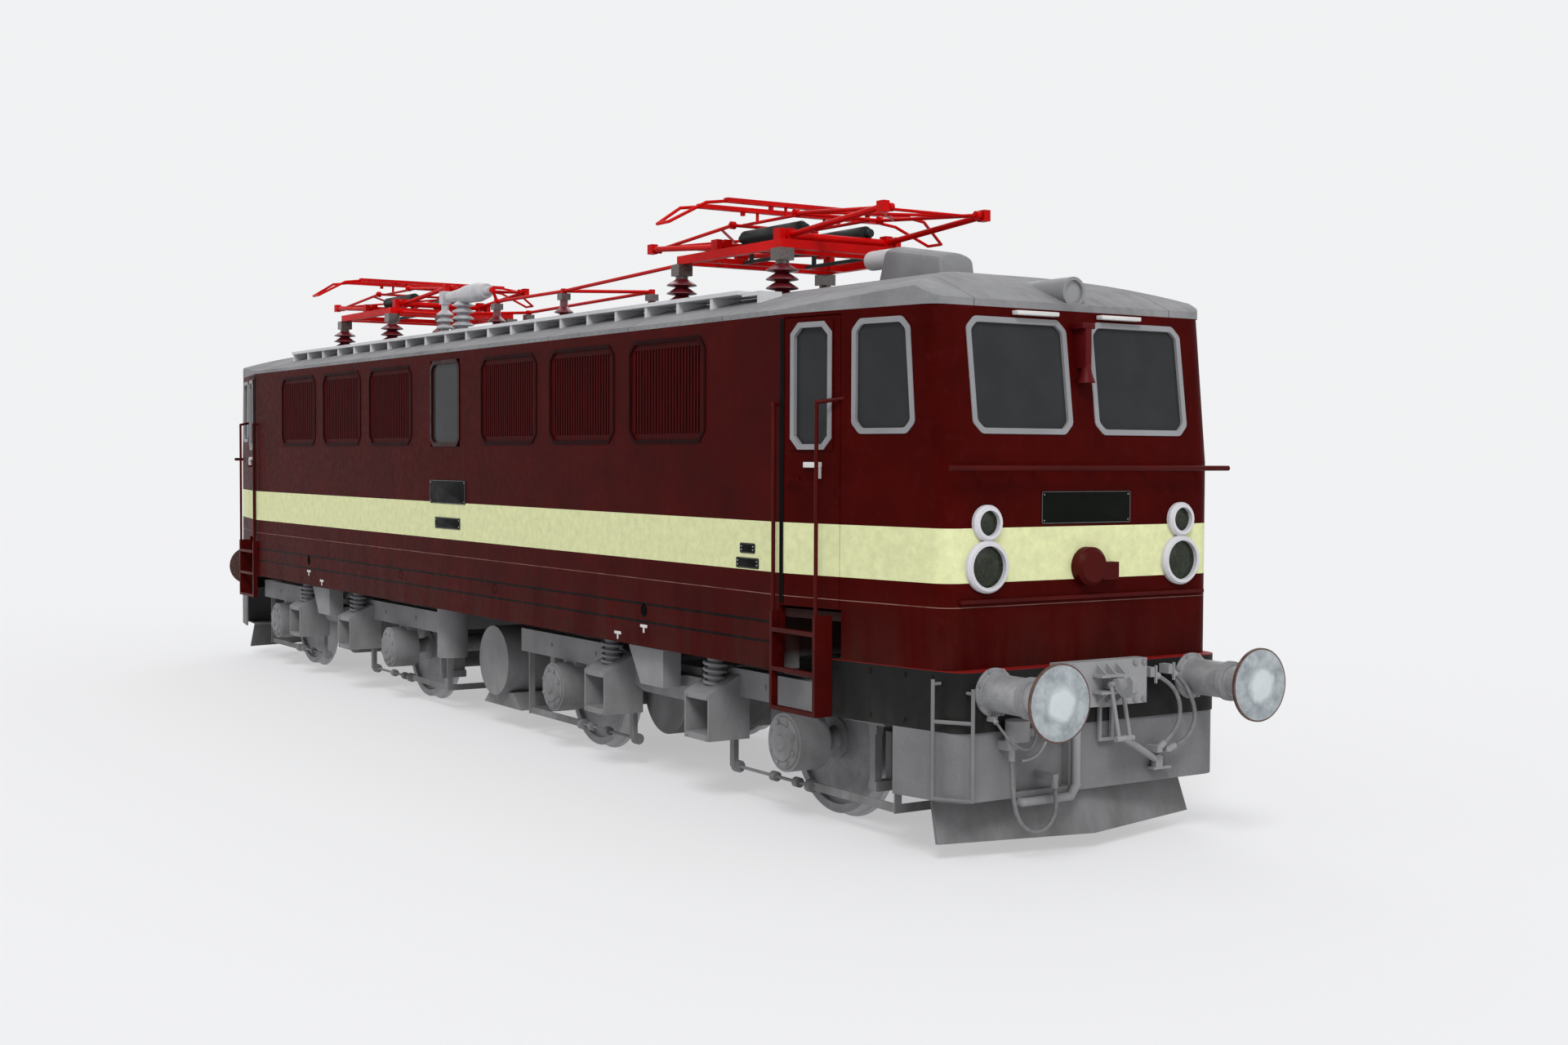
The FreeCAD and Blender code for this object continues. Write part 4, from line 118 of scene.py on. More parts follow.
class LocoPaint(bpy.types.PropertyGroup):
    """Colours of the locomotive."""

    body: colour("Body", "Red of the body sides and cabs", (0.048, 0.0016, 0.0010))
    louvre: colour("Louvres", "Red of the louvred bays", (0.040, 0.0014, 0.0016))
    stripe: colour("Stripe", "Cream of the broad stripe", (0.70, 0.72, 0.40))
    roof: colour("Roof", "Grey of the roof", (0.235, 0.235, 0.243))
    walkway: colour("Walkways", "Pale grey of the roof walkways", (0.60, 0.60, 0.61))
    frame: colour("Window frames", "Grey of the window frames", (0.25, 0.25, 0.26))
    gear: colour("Running gear", "Grey of bogies and tanks", (0.25, 0.25, 0.257))
    apron: colour("Aprons", "Grey of the end aprons", (0.185, 0.185, 0.191))
    band: colour("Band", "Black of the end bands", (0.0085, 0.0085, 0.009))
    rails: colour("Handrails", "Dark red of handrails and ladders", (0.058, 0.0025, 0.0018))
    roof_gear: colour("Pantographs", "Bright red of the pantographs", (0.52, 0.0015, 0.0012))
    porcelain: colour("Insulators", "Glazed red of the insulators", (0.105, 0.007, 0.012))
    lamp: colour("Lamp rings", "Pale grey of the lamp rings", (0.60, 0.59, 0.62))


class LocoTrim(bpy.types.PropertyGroup):
    """Sizes of the trim."""

    stripe_low: length("Stripe bottom", "Height of the stripe's lower edge", 1.803)
    stripe_high: length("Stripe top", "Height of the stripe's upper edge", 2.154)
    rivet_radius: length("Rivet radius", "Radius of a rivet head", 0.007)
    bolt_radius: length("Bolt radius", "Half width of a bolt head", 0.016)
    coil_turns: IntProperty(name="Spring turns", description="Turns of a bogie spring",
                            default=5, min=2, max=12)
    coil_wire: length("Spring wire", "Radius of the spring wire", 0.014)
    tread_pitch: length("Tread pitch", "Distance between the walkway's ribs", 0.06)


class LocoStudio(bpy.types.PropertyGroup):
    """Light of the studio."""

    key: strength("Key light", "Strength of the main lamp", 1.7)
    fill: strength("Fill light", "Strength of the second lamp", 0.5)
    sky: strength("Sky light", "Strength of the light from all round", 0.52)


# ---- nodes and materials
SOURCES = (bpy.types.Node, bpy.types.NodeSocket)


def join(tree, source, target):
    """Give an input a value, an output, or a node's first output."""
    if isinstance(source, SOURCES):
        tree.links.new(getattr(source, "outputs", [source])[0], target)
    else:
        target.default_value = source


def grow(tree, kind, inputs=(), **settings):
    """Add a node with its settings and what its inputs take."""
    node = tree.nodes.new(kind)
    for word, value in settings.items():
        setattr(node, word, value)
    for key, source in dict(inputs).items():
        join(tree, source, node.inputs[key])
    return node


def rgba(value, scale=1.0):
    """A colour with its alpha, made darker or lighter."""
    return tuple(min(1.0, part * scale) for part in value[:3]) + (1.0,)


class Finish:
    """A node material made step by step; coordinates are the object's own."""

    INPUTS = {"base": "Base Color", "rough": "Roughness", "metal": "Metallic",
              "normal": "Normal", "coat": "Coat Weight", "coat_rough": "Coat Roughness",
              "alpha": "Alpha", "specular": "Specular IOR Level", "ior": "IOR"}

    def __init__(self, name):
        self.material = bpy.data.materials.new(name)
        self.material.use_nodes = True
        self.tree = self.material.node_tree
        self.tree.nodes.clear()
        self.shader = grow(self.tree, "ShaderNodeBsdfPrincipled")
        grow(self.tree, "ShaderNodeOutputMaterial", {"Surface": self.shader})
        self.coords = grow(self.tree, "ShaderNodeTexCoord").outputs["Object"]
        self.tone = None

    def noise(self, scale, detail=3.0, rough=0.55, stretch=None):
        spot = self.coords
        if stretch:
            spot = grow(self.tree, "ShaderNodeMapping", {"Vector": spot, "Scale": stretch})
        return grow(self.tree, "ShaderNodeTexNoise", {
            "Vector": spot, "Scale": scale, "Detail": detail, "Roughness": rough})

    def spread(self, source, low, high, to_low=0.0, to_high=1.0):
        """Stretch a range of a value to another, held at its ends."""
        return grow(self.tree, "ShaderNodeMapRange", {
            "Value": source, "From Min": low, "From Max": high, "To Min": to_low,
            "To Max": to_high})

    def math(self, operation, first, second=0.0):
        return grow(self.tree, "ShaderNodeMath", {0: first, 1: second}, operation=operation)

    def axis(self, word, middle=0.0):
        """Place along an axis, counted from a middle."""
        place = grow(self.tree, "ShaderNodeSeparateXYZ", {0: self.coords}).outputs[word.upper()]
        return self.math("SUBTRACT", place, middle) if middle else place

    def off(self, word, middle=0.0):
        """Distance from the locomotive's own middle along an axis, less that of a middle."""
        away = self.math("ABSOLUTE", self.axis(word))
        return self.math("SUBTRACT", away, middle) if middle else away

    def above(self, source, mark):
        return self.math("GREATER_THAN", source, mark)

    def between(self, source, low, high):
        return self.math("MULTIPLY", self.above(source, low),
                         self.math("LESS_THAN", source, high))

    def radius(self, across, rise):
        squares = [self.math("MULTIPLY", part, part) for part in (across, rise)]
        return self.math("SQRT", self.math("ADD", *squares))

    def mix(self, share, first, second):
        sides = [side if isinstance(side, SOURCES) else rgba(side) for side in (first, second)]
        return grow(self.tree, "ShaderNodeMix", {"Factor": share, 6: sides[0], 7: sides[1]},
                    data_type="RGBA").outputs[2]

    def blend(self, source, low, high, first, second):
        """From one tone to another as a value rises from low to high."""
        return self.mix(self.spread(source, low, high), first, second)

    def mottle(self, source, low, high, tint, darker, lighter):
        """Make the tone a tint whose strength follows a value."""
        self.tone = self.blend(source, low, high, rgba(tint, darker), rgba(tint, lighter))

    def over(self, share, tint):
        """Lay a tint over the tone so far."""
        self.tone = self.mix(share, self.tone, tint)
        return self

    def speckle(self, source, low, high, amount, tint):
        """Lay a tint over the tone, up to an amount, where a value is high."""
        return self.over(self.spread(source, low, high, 0.0, amount), tint)

    def bump(self, source, depth, reach, before=None):
        under = {"Normal": before} if before else {}
        return grow(self.tree, "ShaderNodeBump",
                    {"Height": source, "Strength": depth, "Distance": reach, **under})

    def set(self, **values):
        """Give the shader its values, with the tone as its base colour."""
        for word, value in {"base": self.tone, **values}.items():
            join(self.tree, value, self.shader.inputs[self.INPUTS[word]])
        return self

    def feel(self, source, smooth, rough, bumps, depth, reach, **values):
        """Set the shader, its roughness from one noise and its bumps from another."""
        return self.set(rough=self.spread(source, 0.3, 0.7, smooth, rough),
                        normal=self.bump(bumps, depth, reach), **values)

    def on(self, *starts):
        """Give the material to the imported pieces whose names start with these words."""
        for name, item in NODES.items():
            if name.startswith(starts):
                item.data.materials.clear()
                item.data.materials.append(self.material)
        return self


def painted(name, tint, rough=0.45, grain=1.0, dust=None, dust_tint=(0.09, 0.075, 0.06),
            coat=0.0, mottle=0.22, gloss=0.12):
    """Paint on sheet metal: mottled tone, orange-peel bump, dust that gathers below a height."""
    finish = Finish(name)
    broad = finish.noise(1.7, 4.0)
    fine = finish.noise(38.0 * grain, 5.0, 0.6)
    finish.mottle(broad, 0.32, 0.68, tint, 1.0 - mottle, 1.0 + mottle)
    finish.speckle(fine, 0.55, 0.78, 0.35, rgba(tint, 1.5))
    if dust:
        low, high, amount = dust
        fall = finish.spread(finish.axis("z"), low, high, amount, 0.0)
        drift = finish.spread(finish.noise(6.0, 5.0, 0.65, (1.0, 1.0, 0.35)), 0.35, 0.75)
        finish.over(finish.math("MULTIPLY", fall, drift), dust_tint)
    finish.set(coat=coat, specular=gloss,
               rough=finish.spread(finish.noise(9.0, 4.0), 0.3, 0.7, rough - 0.08, rough + 0.12),
               normal=finish.bump(fine, 0.08, 0.01, finish.bump(broad, 0.05, 0.05)))
    return finish.set(coat_rough=0.25) if coat else finish


def body_paint(name, lines):
    """The red livery with its broad cream stripe, and thin lines low on the sides."""
    paint, trim = bpy.context.scene.loco_paint, bpy.context.scene.loco_trim
    finish = Finish(name)
    height = finish.axis("z")
    broad = finish.noise(2.2, 5.0, 0.6)
    patches = finish.noise(13.0, 4.0, 0.7)
    fine = finish.noise(95.0, 3.0, 0.6)
    streaks = finish.noise(5.0, 4.0, 0.6, (1.0, 1.0, 0.12))
    finish.mottle(patches, 0.35, 0.75, paint.stripe, 1.06, 0.86)
    cream = finish.speckle(fine, 0.6, 0.8, 0.3, (0.50, 0.49, 0.27)).tone
    finish.mottle(broad, 0.3, 0.7, paint.body, 0.74, 1.2)
    finish.speckle(patches, 0.52, 0.8, 0.45, (0.075, 0.006, 0.009))
    finish.speckle(streaks, 0.6, 0.85, 0.4, rgba(paint.body, 0.45))
    finish.over(finish.between(height, trim.stripe_low, trim.stripe_high), cream)
    faint_line, dark_lines, thick = (1.645, 1.651), (1.443, 1.303), 0.020
    worn = finish.math("MULTIPLY", finish.between(height, *faint_line),
                       finish.spread(streaks, 0.3, 0.6, 0.25, 0.8))
    finish.over(worn, (0.30, 0.16, 0.13))
    for low in dark_lines if lines else ():
        finish.over(finish.between(height, low, low + thick), LINE_BLACK)
    grime = finish.math("MULTIPLY", finish.spread(height, 1.1, 1.75, 0.5, 0.0),
                        finish.spread(streaks, 0.4, 0.8))
    finish.over(grime, (0.05, 0.030, 0.022))
    return finish.set(specular=0.022, rough=finish.spread(patches, 0.3, 0.75, 0.36, 0.56),
                      normal=finish.bump(fine, 0.06, 0.006, finish.bump(broad, 0.10, 0.04)))


# ---- shapes
def placed(name, data):
    """A new object in the scene."""
    item = bpy.data.objects.new(name, data)
    bpy.context.scene.collection.objects.link(item)
    return item


def circle(radius, count, start=0.0):
    """Evenly spaced points round the origin, as (x, y)."""
    return [(radius * math.cos(angle), radius * math.sin(angle))
            for angle in (start + 2 * math.pi * k / count for k in range(count))]


class Shape:
    """Gathers the faces of one piece."""

    def __init__(self):
        self.mesh = bmesh.new()

    def add(self, part, place=None, edges=(), bevel=0.0, steps=2):
        """Round the edges of a closed part, place it and take over its faces."""
        if bevel:
            bmesh.ops.bevel(part, geom=list(edges), offset=bevel, segments=steps, profile=0.5,
                            affect="EDGES")
        if place is not None:
            bmesh.ops.transform(part, matrix=place, verts=part.verts)
        data = bpy.data.meshes.new("part")
        part.to_mesh(data)
        part.free()
        self.mesh.from_mesh(data)
        bpy.data.meshes.remove(data)

    def skin(self, loops, place=None, around=False, filled=True, bevel=0.0, steps=2):
        """Faces from each loop of points to the next. A loop of one point is a tip; around
        joins the last loop to the first; filled closes both ends, whose edges take the bevel."""
        part = bmesh.new()
        loops = [[part.verts.new(point) for point in loop] for loop in loops]
        for first, second in zip(loops, loops[1:] + (loops[:1] if around else [])):
            count = max(len(first), len(second))
            for k in range(count):
                after = (k + 1) % count
                corners = [first[k % len(first)], first[after % len(first)],
                           second[after % len(second)], second[k % len(second)]]
                part.faces.new(list(dict.fromkeys(corners)))
        ends = [part.faces.new(loops[0][::-1]), part.faces.new(loops[-1])] if filled else []
        bmesh.ops.recalc_face_normals(part, faces=part.faces[:])
        self.add(part, place, [edge for face in ends for edge in face.edges], bevel, steps)

    def box(self, low, high, bevel=0.0, place=None):
        low, high = Vector(low), Vector(high)
        part = bmesh.new()
        bmesh.ops.create_cube(part, size=1.0, matrix=Matrix.LocRotScale((low + high) / 2, None,
                                                                        high - low))
        self.add(part, place, part.edges, bevel)

    def lathe(self, profile, steps=32, place=None):
        """A closed turned piece about Z; profile is (radius, height), from axis to axis."""
        tips = [radius < 1e-6 for radius, _ in profile]
        loops = [[(0, 0, height)] if tip else [(x, y, height) for x, y in circle(radius, steps)]
                 for tip, (radius, height) in zip(tips, profile)]
        self.skin(loops, place, not (tips[0] or tips[-1]), False)

    def slab(self, outline, low, high, bevel=0.0, place=None):
        """A flat outline in X and Y, filled from one height to another."""
        self.skin([[(x, y, z) for x, y in outline] for z in (low, high)], place, bevel=bevel)

    def ring(self, outer, inner, low, high, place):
        """A flat frame between two outlines of as many corners."""
        self.skin([[(x, y, z) for x, y in outline] for outline, z in
                   ((outer, low), (outer, high), (inner, high), (inner, low))], place, True,
                  False)

    def hoop(self, points, radius, steps):
        """A round bar along a closed line of points."""
        points = [Vector(point) for point in points]
        ways = [(after - before).normalized()
                for before, after in zip(points[-1:] + points, points[1:] + points[:1])]
        across = ways[0].orthogonal().normalized()
        loops = []
        for point, way, last in zip(points, ways, ways[:1] + ways):
            across = last.rotation_difference(way) @ across
            across = (across - way * across.dot(way)).normalized()
            other = way.cross(across)
            loops.append([point + across * x + other * y for x, y in circle(radius, steps)])
        self.skin(loops, None, True, False)

    def turned(self):
        """Add the same faces again at the other end."""
        self.add(self.mesh.copy(), HALF_TURN)
        return self

    def piece(self, name, material, body=BODY, corner=35.0):
        """Close the shape: an object that rides a body, in a material called by its name."""
        limit = math.radians(corner)
        for face in self.mesh.faces:
            face.smooth = True
        for edge in self.mesh.edges:
            edge.smooth = len(edge.link_faces) == 2 and edge.calc_face_angle(0.0) < limit
        data = bpy.data.meshes.new(name)
        self.mesh.to_mesh(data)
        self.mesh.free()
        data.materials.append(bpy.data.materials[material])
        item = placed(name, data)
        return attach(item, body)


def facing(point, way):
    """Placement whose Z looks along a direction, its Y as near as may be to upright."""
    way = Vector(way).normalized()
    side = Vector((0, 0, 1)).cross(way)
    side = side.normalized() if side.length > 1e-6 else way.orthogonal().normalized()
    turn = Matrix((side, way.cross(side), way)).transposed().to_4x4()
    return Matrix.Translation(Vector(point)) @ turn


def rounded_outline(width, height, radius, steps=4):
    """A rectangle with round corners, about the origin."""
    return [(cx * (width / 2 - radius) + radius * math.cos(angle),
             cy * (height / 2 - radius) + radius * math.sin(angle))
            for cx, cy, start in ((1, 1, 0), (-1, 1, 90), (-1, -1, 180), (1, -1, 270))
            for angle in (math.radians(start + 90 * k / steps) for k in range(steps + 1))]


def chamfered(width, height, cut):
    """A rectangle with its corners cut off, about the origin."""
    w, h = width / 2, height / 2
    return [(w, h - cut), (w - cut, h), (cut - w, h), (-w, h - cut),
            (-w, cut - h), (cut - w, -h), (w - cut, -h), (w, cut - h)]


# ---- repeats with geometry nodes
def repeated(name, form, material, spots, body=BODY, **sizes):
    """Stand one small form on every (point, direction) spot with a tree of geometry nodes,
    and keep the result as one plain piece."""
    tree = bpy.data.node_groups.new(name, "GeometryNodeTree")
    tree.interface.new_socket("Geometry", in_out="INPUT", socket_type="NodeSocketGeometry")
    for label in sizes:
        tree.interface.new_socket(label, in_out="INPUT", socket_type="NodeSocketFloat")
    tree.interface.new_socket("Geometry", in_out="OUTPUT", socket_type="NodeSocketGeometry")
    entry = grow(tree, "NodeGroupInput").outputs
    way = grow(tree, "GeometryNodeInputNamedAttribute", data_type="FLOAT_VECTOR")
    way.inputs["Name"].default_value = "facing"
    turn = grow(tree, "FunctionNodeAlignRotationToVector",
                {"Vector": way.outputs["Attribute"]}, axis="Z")
    stand = grow(tree, "GeometryNodeInstanceOnPoints", {
        "Points": entry["Geometry"], "Instance": form(tree, entry), "Rotation": turn})
    whole = grow(tree, "GeometryNodeRealizeInstances", {0: stand})
    dress = grow(tree, "GeometryNodeSetMaterial", {
        "Geometry": whole, "Material": bpy.data.materials[material]})
    grow(tree, "NodeGroupOutput", {"Geometry": dress})
    data = bpy.data.meshes.new(name)
    data.from_pydata([tuple(point) for point, _ in spots], [], [])
    ways = data.attributes.new("facing", "FLOAT_VECTOR", "POINT")
    for k, (_, direction) in enumerate(spots):
        ways.data[k].vector = Vector(direction).normalized()
    base = placed(name + "_base", data)
    modifier = base.modifiers.new("repeat", "NODES")
    modifier.node_group = tree
    for socket in tree.interface.items_tree:
        if socket.item_type == "SOCKET" and socket.name in sizes:
            modifier[socket.identifier] = float(sizes[socket.name])
    graph = bpy.context.evaluated_depsgraph_get()
    result = bpy.data.meshes.new_from_object(base.evaluated_get(graph), depsgraph=graph)
    bpy.data.objects.remove(base)
    result.name = name
    item = placed(name, result)
    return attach(item, body)


def scaled(tree, source, factor):
    return grow(tree, "ShaderNodeMath", {0: source, 1: factor}, operation="MULTIPLY")


def rivet(tree, entry):
    """A low cone with a smaller top."""
    return grow(tree, "GeometryNodeMeshCone", {
        "Vertices": 8, "Radius Bottom": entry["Radius"], "Depth": entry["Height"],
        "Radius Top": scaled(tree, entry["Radius"], 0.55)})


def bolt(tree, entry):
    """A hexagon head on a round washer."""
    joined = grow(tree, "GeometryNodeJoinGeometry")
    for sides, wide, high in ((16, 1.35, 0.35), (6, 1.0, 1.0)):
        part = grow(tree, "GeometryNodeMeshCylinder", {
            "Vertices": sides, "Radius": scaled(tree, entry["Radius"], wide),
            "Depth": scaled(tree, entry["Height"], high)})
        join(tree, part, joined.inputs[0])
    return joined


def coil(tree, entry):
    """A helical spring, standing up."""
    spiral = grow(tree, "GeometryNodeCurveSpiral", {
        "Resolution": 18, "Start Radius": entry["Radius"], "End Radius": entry["Radius"],
        "Rotations": entry["Turns"], "Height": entry["Height"]})
    wire = grow(tree, "GeometryNodeCurvePrimitiveCircle",
                {"Resolution": 8, "Radius": entry["Wire"]})
    return grow(tree, "GeometryNodeCurveToMesh", {
        "Fill Caps": True, "Curve": spiral, "Profile Curve": wire})


def rib(tree, entry):
    """A low rib across a walkway."""
    size = grow(tree, "ShaderNodeCombineXYZ", {
        "X": entry["Thickness"], "Y": entry["Width"], "Z": entry["Height"]})
    return grow(tree, "GeometryNodeMeshCube", {"Size": size})


def line_of(start, end, pitch, way):
    """Spots at an even pitch from one point to another."""
    start, run = Vector(start), Vector(end) - Vector(start)
    count = max(1, round(run.length / pitch))
    return [(start + run * (k / count), way) for k in range(count + 1)]


def ring_of(centre, radius, way):
    """Eight spots round a circle across a direction."""
    place = facing(centre, way)
    return [(place @ Vector((x, y, 0)), way) for x, y in circle(radius, 8, 0.39)]


def about(spots):
    """The same spots at the other end as well."""
    return spots + [(HALF_TURN @ Vector(point), HALF_TURN.to_3x3() @ Vector(way))
                    for point, way in spots]


# ---- operators
class LOCO_OT_camera(bpy.types.Operator):
    """Set up the camera low beside the front right-hand corner"""

    bl_idname = "loco.camera"
    bl_label = "Camera"

    def execute(self, context):
        azimuth, elevation, roll = (math.radians(angle) for angle in (56.741, 2.070, 0.241))
        data = bpy.data.cameras.new("camera")
        data.sensor_width, data.lens, data.clip_end = 36.0, 42.245, 500.0
        item = placed("camera", data)
        item.matrix_world = (Matrix.Translation((16.507, -8.399, 2.610))
                             @ Matrix.Rotation(azimuth, 4, "Z")
                             @ Matrix.Rotation(math.pi / 2 - elevation, 4, "X")
                             @ Matrix.Rotation(roll, 4, "Z"))
        context.scene.camera = item
        return {"FINISHED"}


# each cord at the front end: name, radius, stiffness, length, and its route between two fittings
HOSES = (
    ("brake_hose_inner", 0.015, "stiff", 0.56,
     ((7.566, 0.490, 1.136), (7.584, 0.548, 1.103), (7.600, 0.616, 1.036), (7.606, 0.654, 0.940),
      (7.604, 0.652, 0.832), (7.593, 0.598, 0.738), (7.580, 0.538, 0.688))),
    ("brake_hose_outer", 0.015, "stiff", 0.61,
     ((7.566, 0.650, 1.138), (7.584, 0.700, 1.096), (7.598, 0.744, 1.018), (7.606, 0.786, 0.922),
      (7.604, 0.800, 0.830), (7.595, 0.770, 0.742), (7.586, 0.712, 0.684), (7.578, 0.636, 0.659))),
    ("heating_cable", 0.014, "medium", 0.93,
     ((7.552, -0.783, 0.672), (7.556, -0.781, 0.572), (7.562, -0.776, 0.460),
      (7.568, -0.762, 0.348), (7.574, -0.712, 0.252), (7.578, -0.624, 0.198),
      (7.580, -0.520, 0.206), (7.580, -0.446, 0.276), (7.578, -0.424, 0.372),
      (7.572, -0.434, 0.470))),
    ("lamp_cable", 0.009, "medium", 0.51,
     ((7.560, -0.915, 0.925), (7.608, -0.909, 0.880), (7.650, -0.880, 0.820),
      (7.672, -0.826, 0.774), (7.674, -0.754, 0.756), (7.670, -0.692, 0.796),
      (7.654, -0.668, 0.868), (7.618, -0.656, 0.936))),
)


class LOCO_OT_hoses(bpy.types.Operator):
    """Hang the brake hoses and cables at both ends"""

    bl_idname = "loco.hoses"
    bl_label = "Hoses and cables"

    def execute(self, context):
        rubber = Finish("hose_rubber")
        fine = rubber.noise(150.0)
        rubber.tone = rubber.blend(rubber.noise(22.0, 4.0, 0.6), 0.35, 0.7,
                                   (0.140, 0.140, 0.144), (0.205, 0.202, 0.20))
        rubber.feel(fine, 0.55, 0.75, fine, 0.25, 0.002)
        for end, turn in ENDS:
            for name, radius, stiffness, real, route in HOSES:
                data = bpy.data.curves.new("%s_%s" % (name, end), "CURVE")
                data.dimensions = "3D"
                spline = data.splines.new("NURBS")
                spline.points.add(len(route) - 1)
                for point, spot in zip(spline.points, route):
                    point.co = (turn @ Vector(spot)).to_4d()
                spline.order_u = 3
                spline.use_endpoint_u = True
                spline.resolution_u = 10
                data.bevel_depth = radius
                data.bevel_resolution = 3
                data.use_fill_caps = True
                data.materials.append(rubber.material)
                item = placed(data.name, data)
                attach(item, BODY)
                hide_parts("brake_hoses")
        return {"FINISHED"}


class LOCO_OT_body(bpy.types.Operator):
    """Paint the body sides, cabs, doors, louvres and windows"""

    bl_idname = "loco.body"
    bl_label = "Body paint"

    def execute(self, context):
        paint = context.scene.loco_paint
        body_paint("body_paint", True).on("side_wall")
        body_paint("cab_paint", False).on("cab_shell", "door_front", "door_rear")
        louvre = Finish("louvre_paint")
        slats = louvre.noise(30.0, 4.0, 0.6, (1.0, 1.0, 0.15))
        specks = louvre.noise(26.0, 3.0, 0.7)
        louvre.mottle(slats, 0.3, 0.7, paint.louvre, 0.55, 1.5)
        louvre.speckle(specks, 0.68, 0.82, 0.7, (0.085, 0.012, 0.010))
        louvre.over(louvre.above(louvre.off("y"), WALL_Y + 0.002), rgba(paint.louvre, 0.35))
        louvre.feel(slats, 0.42, 0.62, specks, 0.12, 0.006, specular=0.03).on("louvres")
        # the frame of the middle window is red
        grey = painted("window_frame_paint", paint.frame, 0.42, 1.5, mottle=0.10)
        grey.over(grey.math("LESS_THAN", grey.off("x"), 1.0), rgba(paint.louvre, 0.5))
        grey.set().on("window_frames")
        painted("horn_paint", (0.075, 0.003, 0.004), 0.4, 2.0, gloss=0.1)
        glass = Finish("tinted_glass")
        smear = glass.noise(3.0, 4.0, 0.6)
        glass.tone = glass.blend(smear, 0.3, 0.7, (0.027, 0.028, 0.029), (0.034, 0.035, 0.036))
        glass.set(rough=glass.spread(glass.noise(70.0, 3.0, 0.6), 0.4, 0.75, 0.10, 0.20),
                  alpha=glass.spread(smear, 0.3, 0.7, 0.97, 0.985), specular=0.08, ior=1.45)
        glass.on("window_glass", "door_glass")
        return {"FINISHED"}


class LOCO_OT_roof(bpy.types.Operator):
    """Paint the roof, its walkways, hoods and electrical gear"""

    bl_idname = "loco.roof"
    bl_label = "Roof paint"

    def execute(self, context):
        paint = context.scene.loco_paint
        roof = painted("roof_paint", paint.roof, 0.62, 0.8, mottle=0.16)
        roof.speckle(roof.noise(7.0, 5.0, 0.65, (0.15, 1.0, 1.0)), 0.45, 0.8, 0.4, SOOT)
        # seams across the roof at an even pitch, and one along each side
        pitch, gap = 1.424, 0.012
        along = roof.math("MODULO", roof.math("ADD", roof.axis("x"), 12.0), pitch)
        seam = roof.math("MULTIPLY", roof.math("LESS_THAN", along, gap),
                         roof.math("LESS_THAN", roof.off("x"), 5.4))
        seam = roof.math("MAXIMUM", seam, roof.between(roof.off("y"), 0.862, 0.872))
        roof.over(roof.math("MULTIPLY", seam, 0.6), (0.05, 0.05, 0.05)).set().on("roof_skin")
        painted("hood_paint", paint.roof, 0.55, 1.2, mottle=0.12).on("roof_hoods")
        painted("walkway_paint", paint.walkway, 0.55, 1.4, mottle=0.12).on("roof_walkways")
        painted("roof_gear_paint", paint.roof_gear, 0.38, 2.0, coat=0.06, mottle=0.18,
                gloss=0.05).on("bus_bars", "pantograph_bases", "lower_arm", "upper_arm",
                               "pan_head")
        painted("spring_case_paint", (0.018, 0.023, 0.023), 0.4, 2.0,
                mottle=0.2).on("pantograph_springs")
        # red glaze, and rusty caps above it
        glaze = Finish("glazed_porcelain")
        rings = glaze.noise(18.0, 3.0, 0.6)
        glaze.mottle(rings, 0.3, 0.7, paint.porcelain, 0.8, 1.35)
        rust = glaze.blend(glaze.noise(55.0, 4.0, 0.7), 0.42, 0.62, (0.014, 0.009, 0.007),
                           (0.080, 0.046, 0.034))
        cap_z = 4.070
        glaze.over(glaze.above(glaze.axis("z"), cap_z), rust)
        glaze.feel(rings, 0.22, 0.38, glaze.noise(60.0), 0.08, 0.003, coat=0.5,
                   coat_rough=0.12).on("roof_insulators")
        pale = Finish("pale_porcelain")
        cloud = pale.noise(9.0, 4.0, 0.6)
        pale.tone = pale.blend(cloud, 0.3, 0.7, (0.36, 0.35, 0.37), (0.50, 0.49, 0.51))
        pale.feel(cloud, 0.26, 0.42, pale.noise(50.0), 0.06, 0.003, coat=0.35,
                  coat_rough=0.15).on("circuit_breaker")
        return {"FINISHED"}


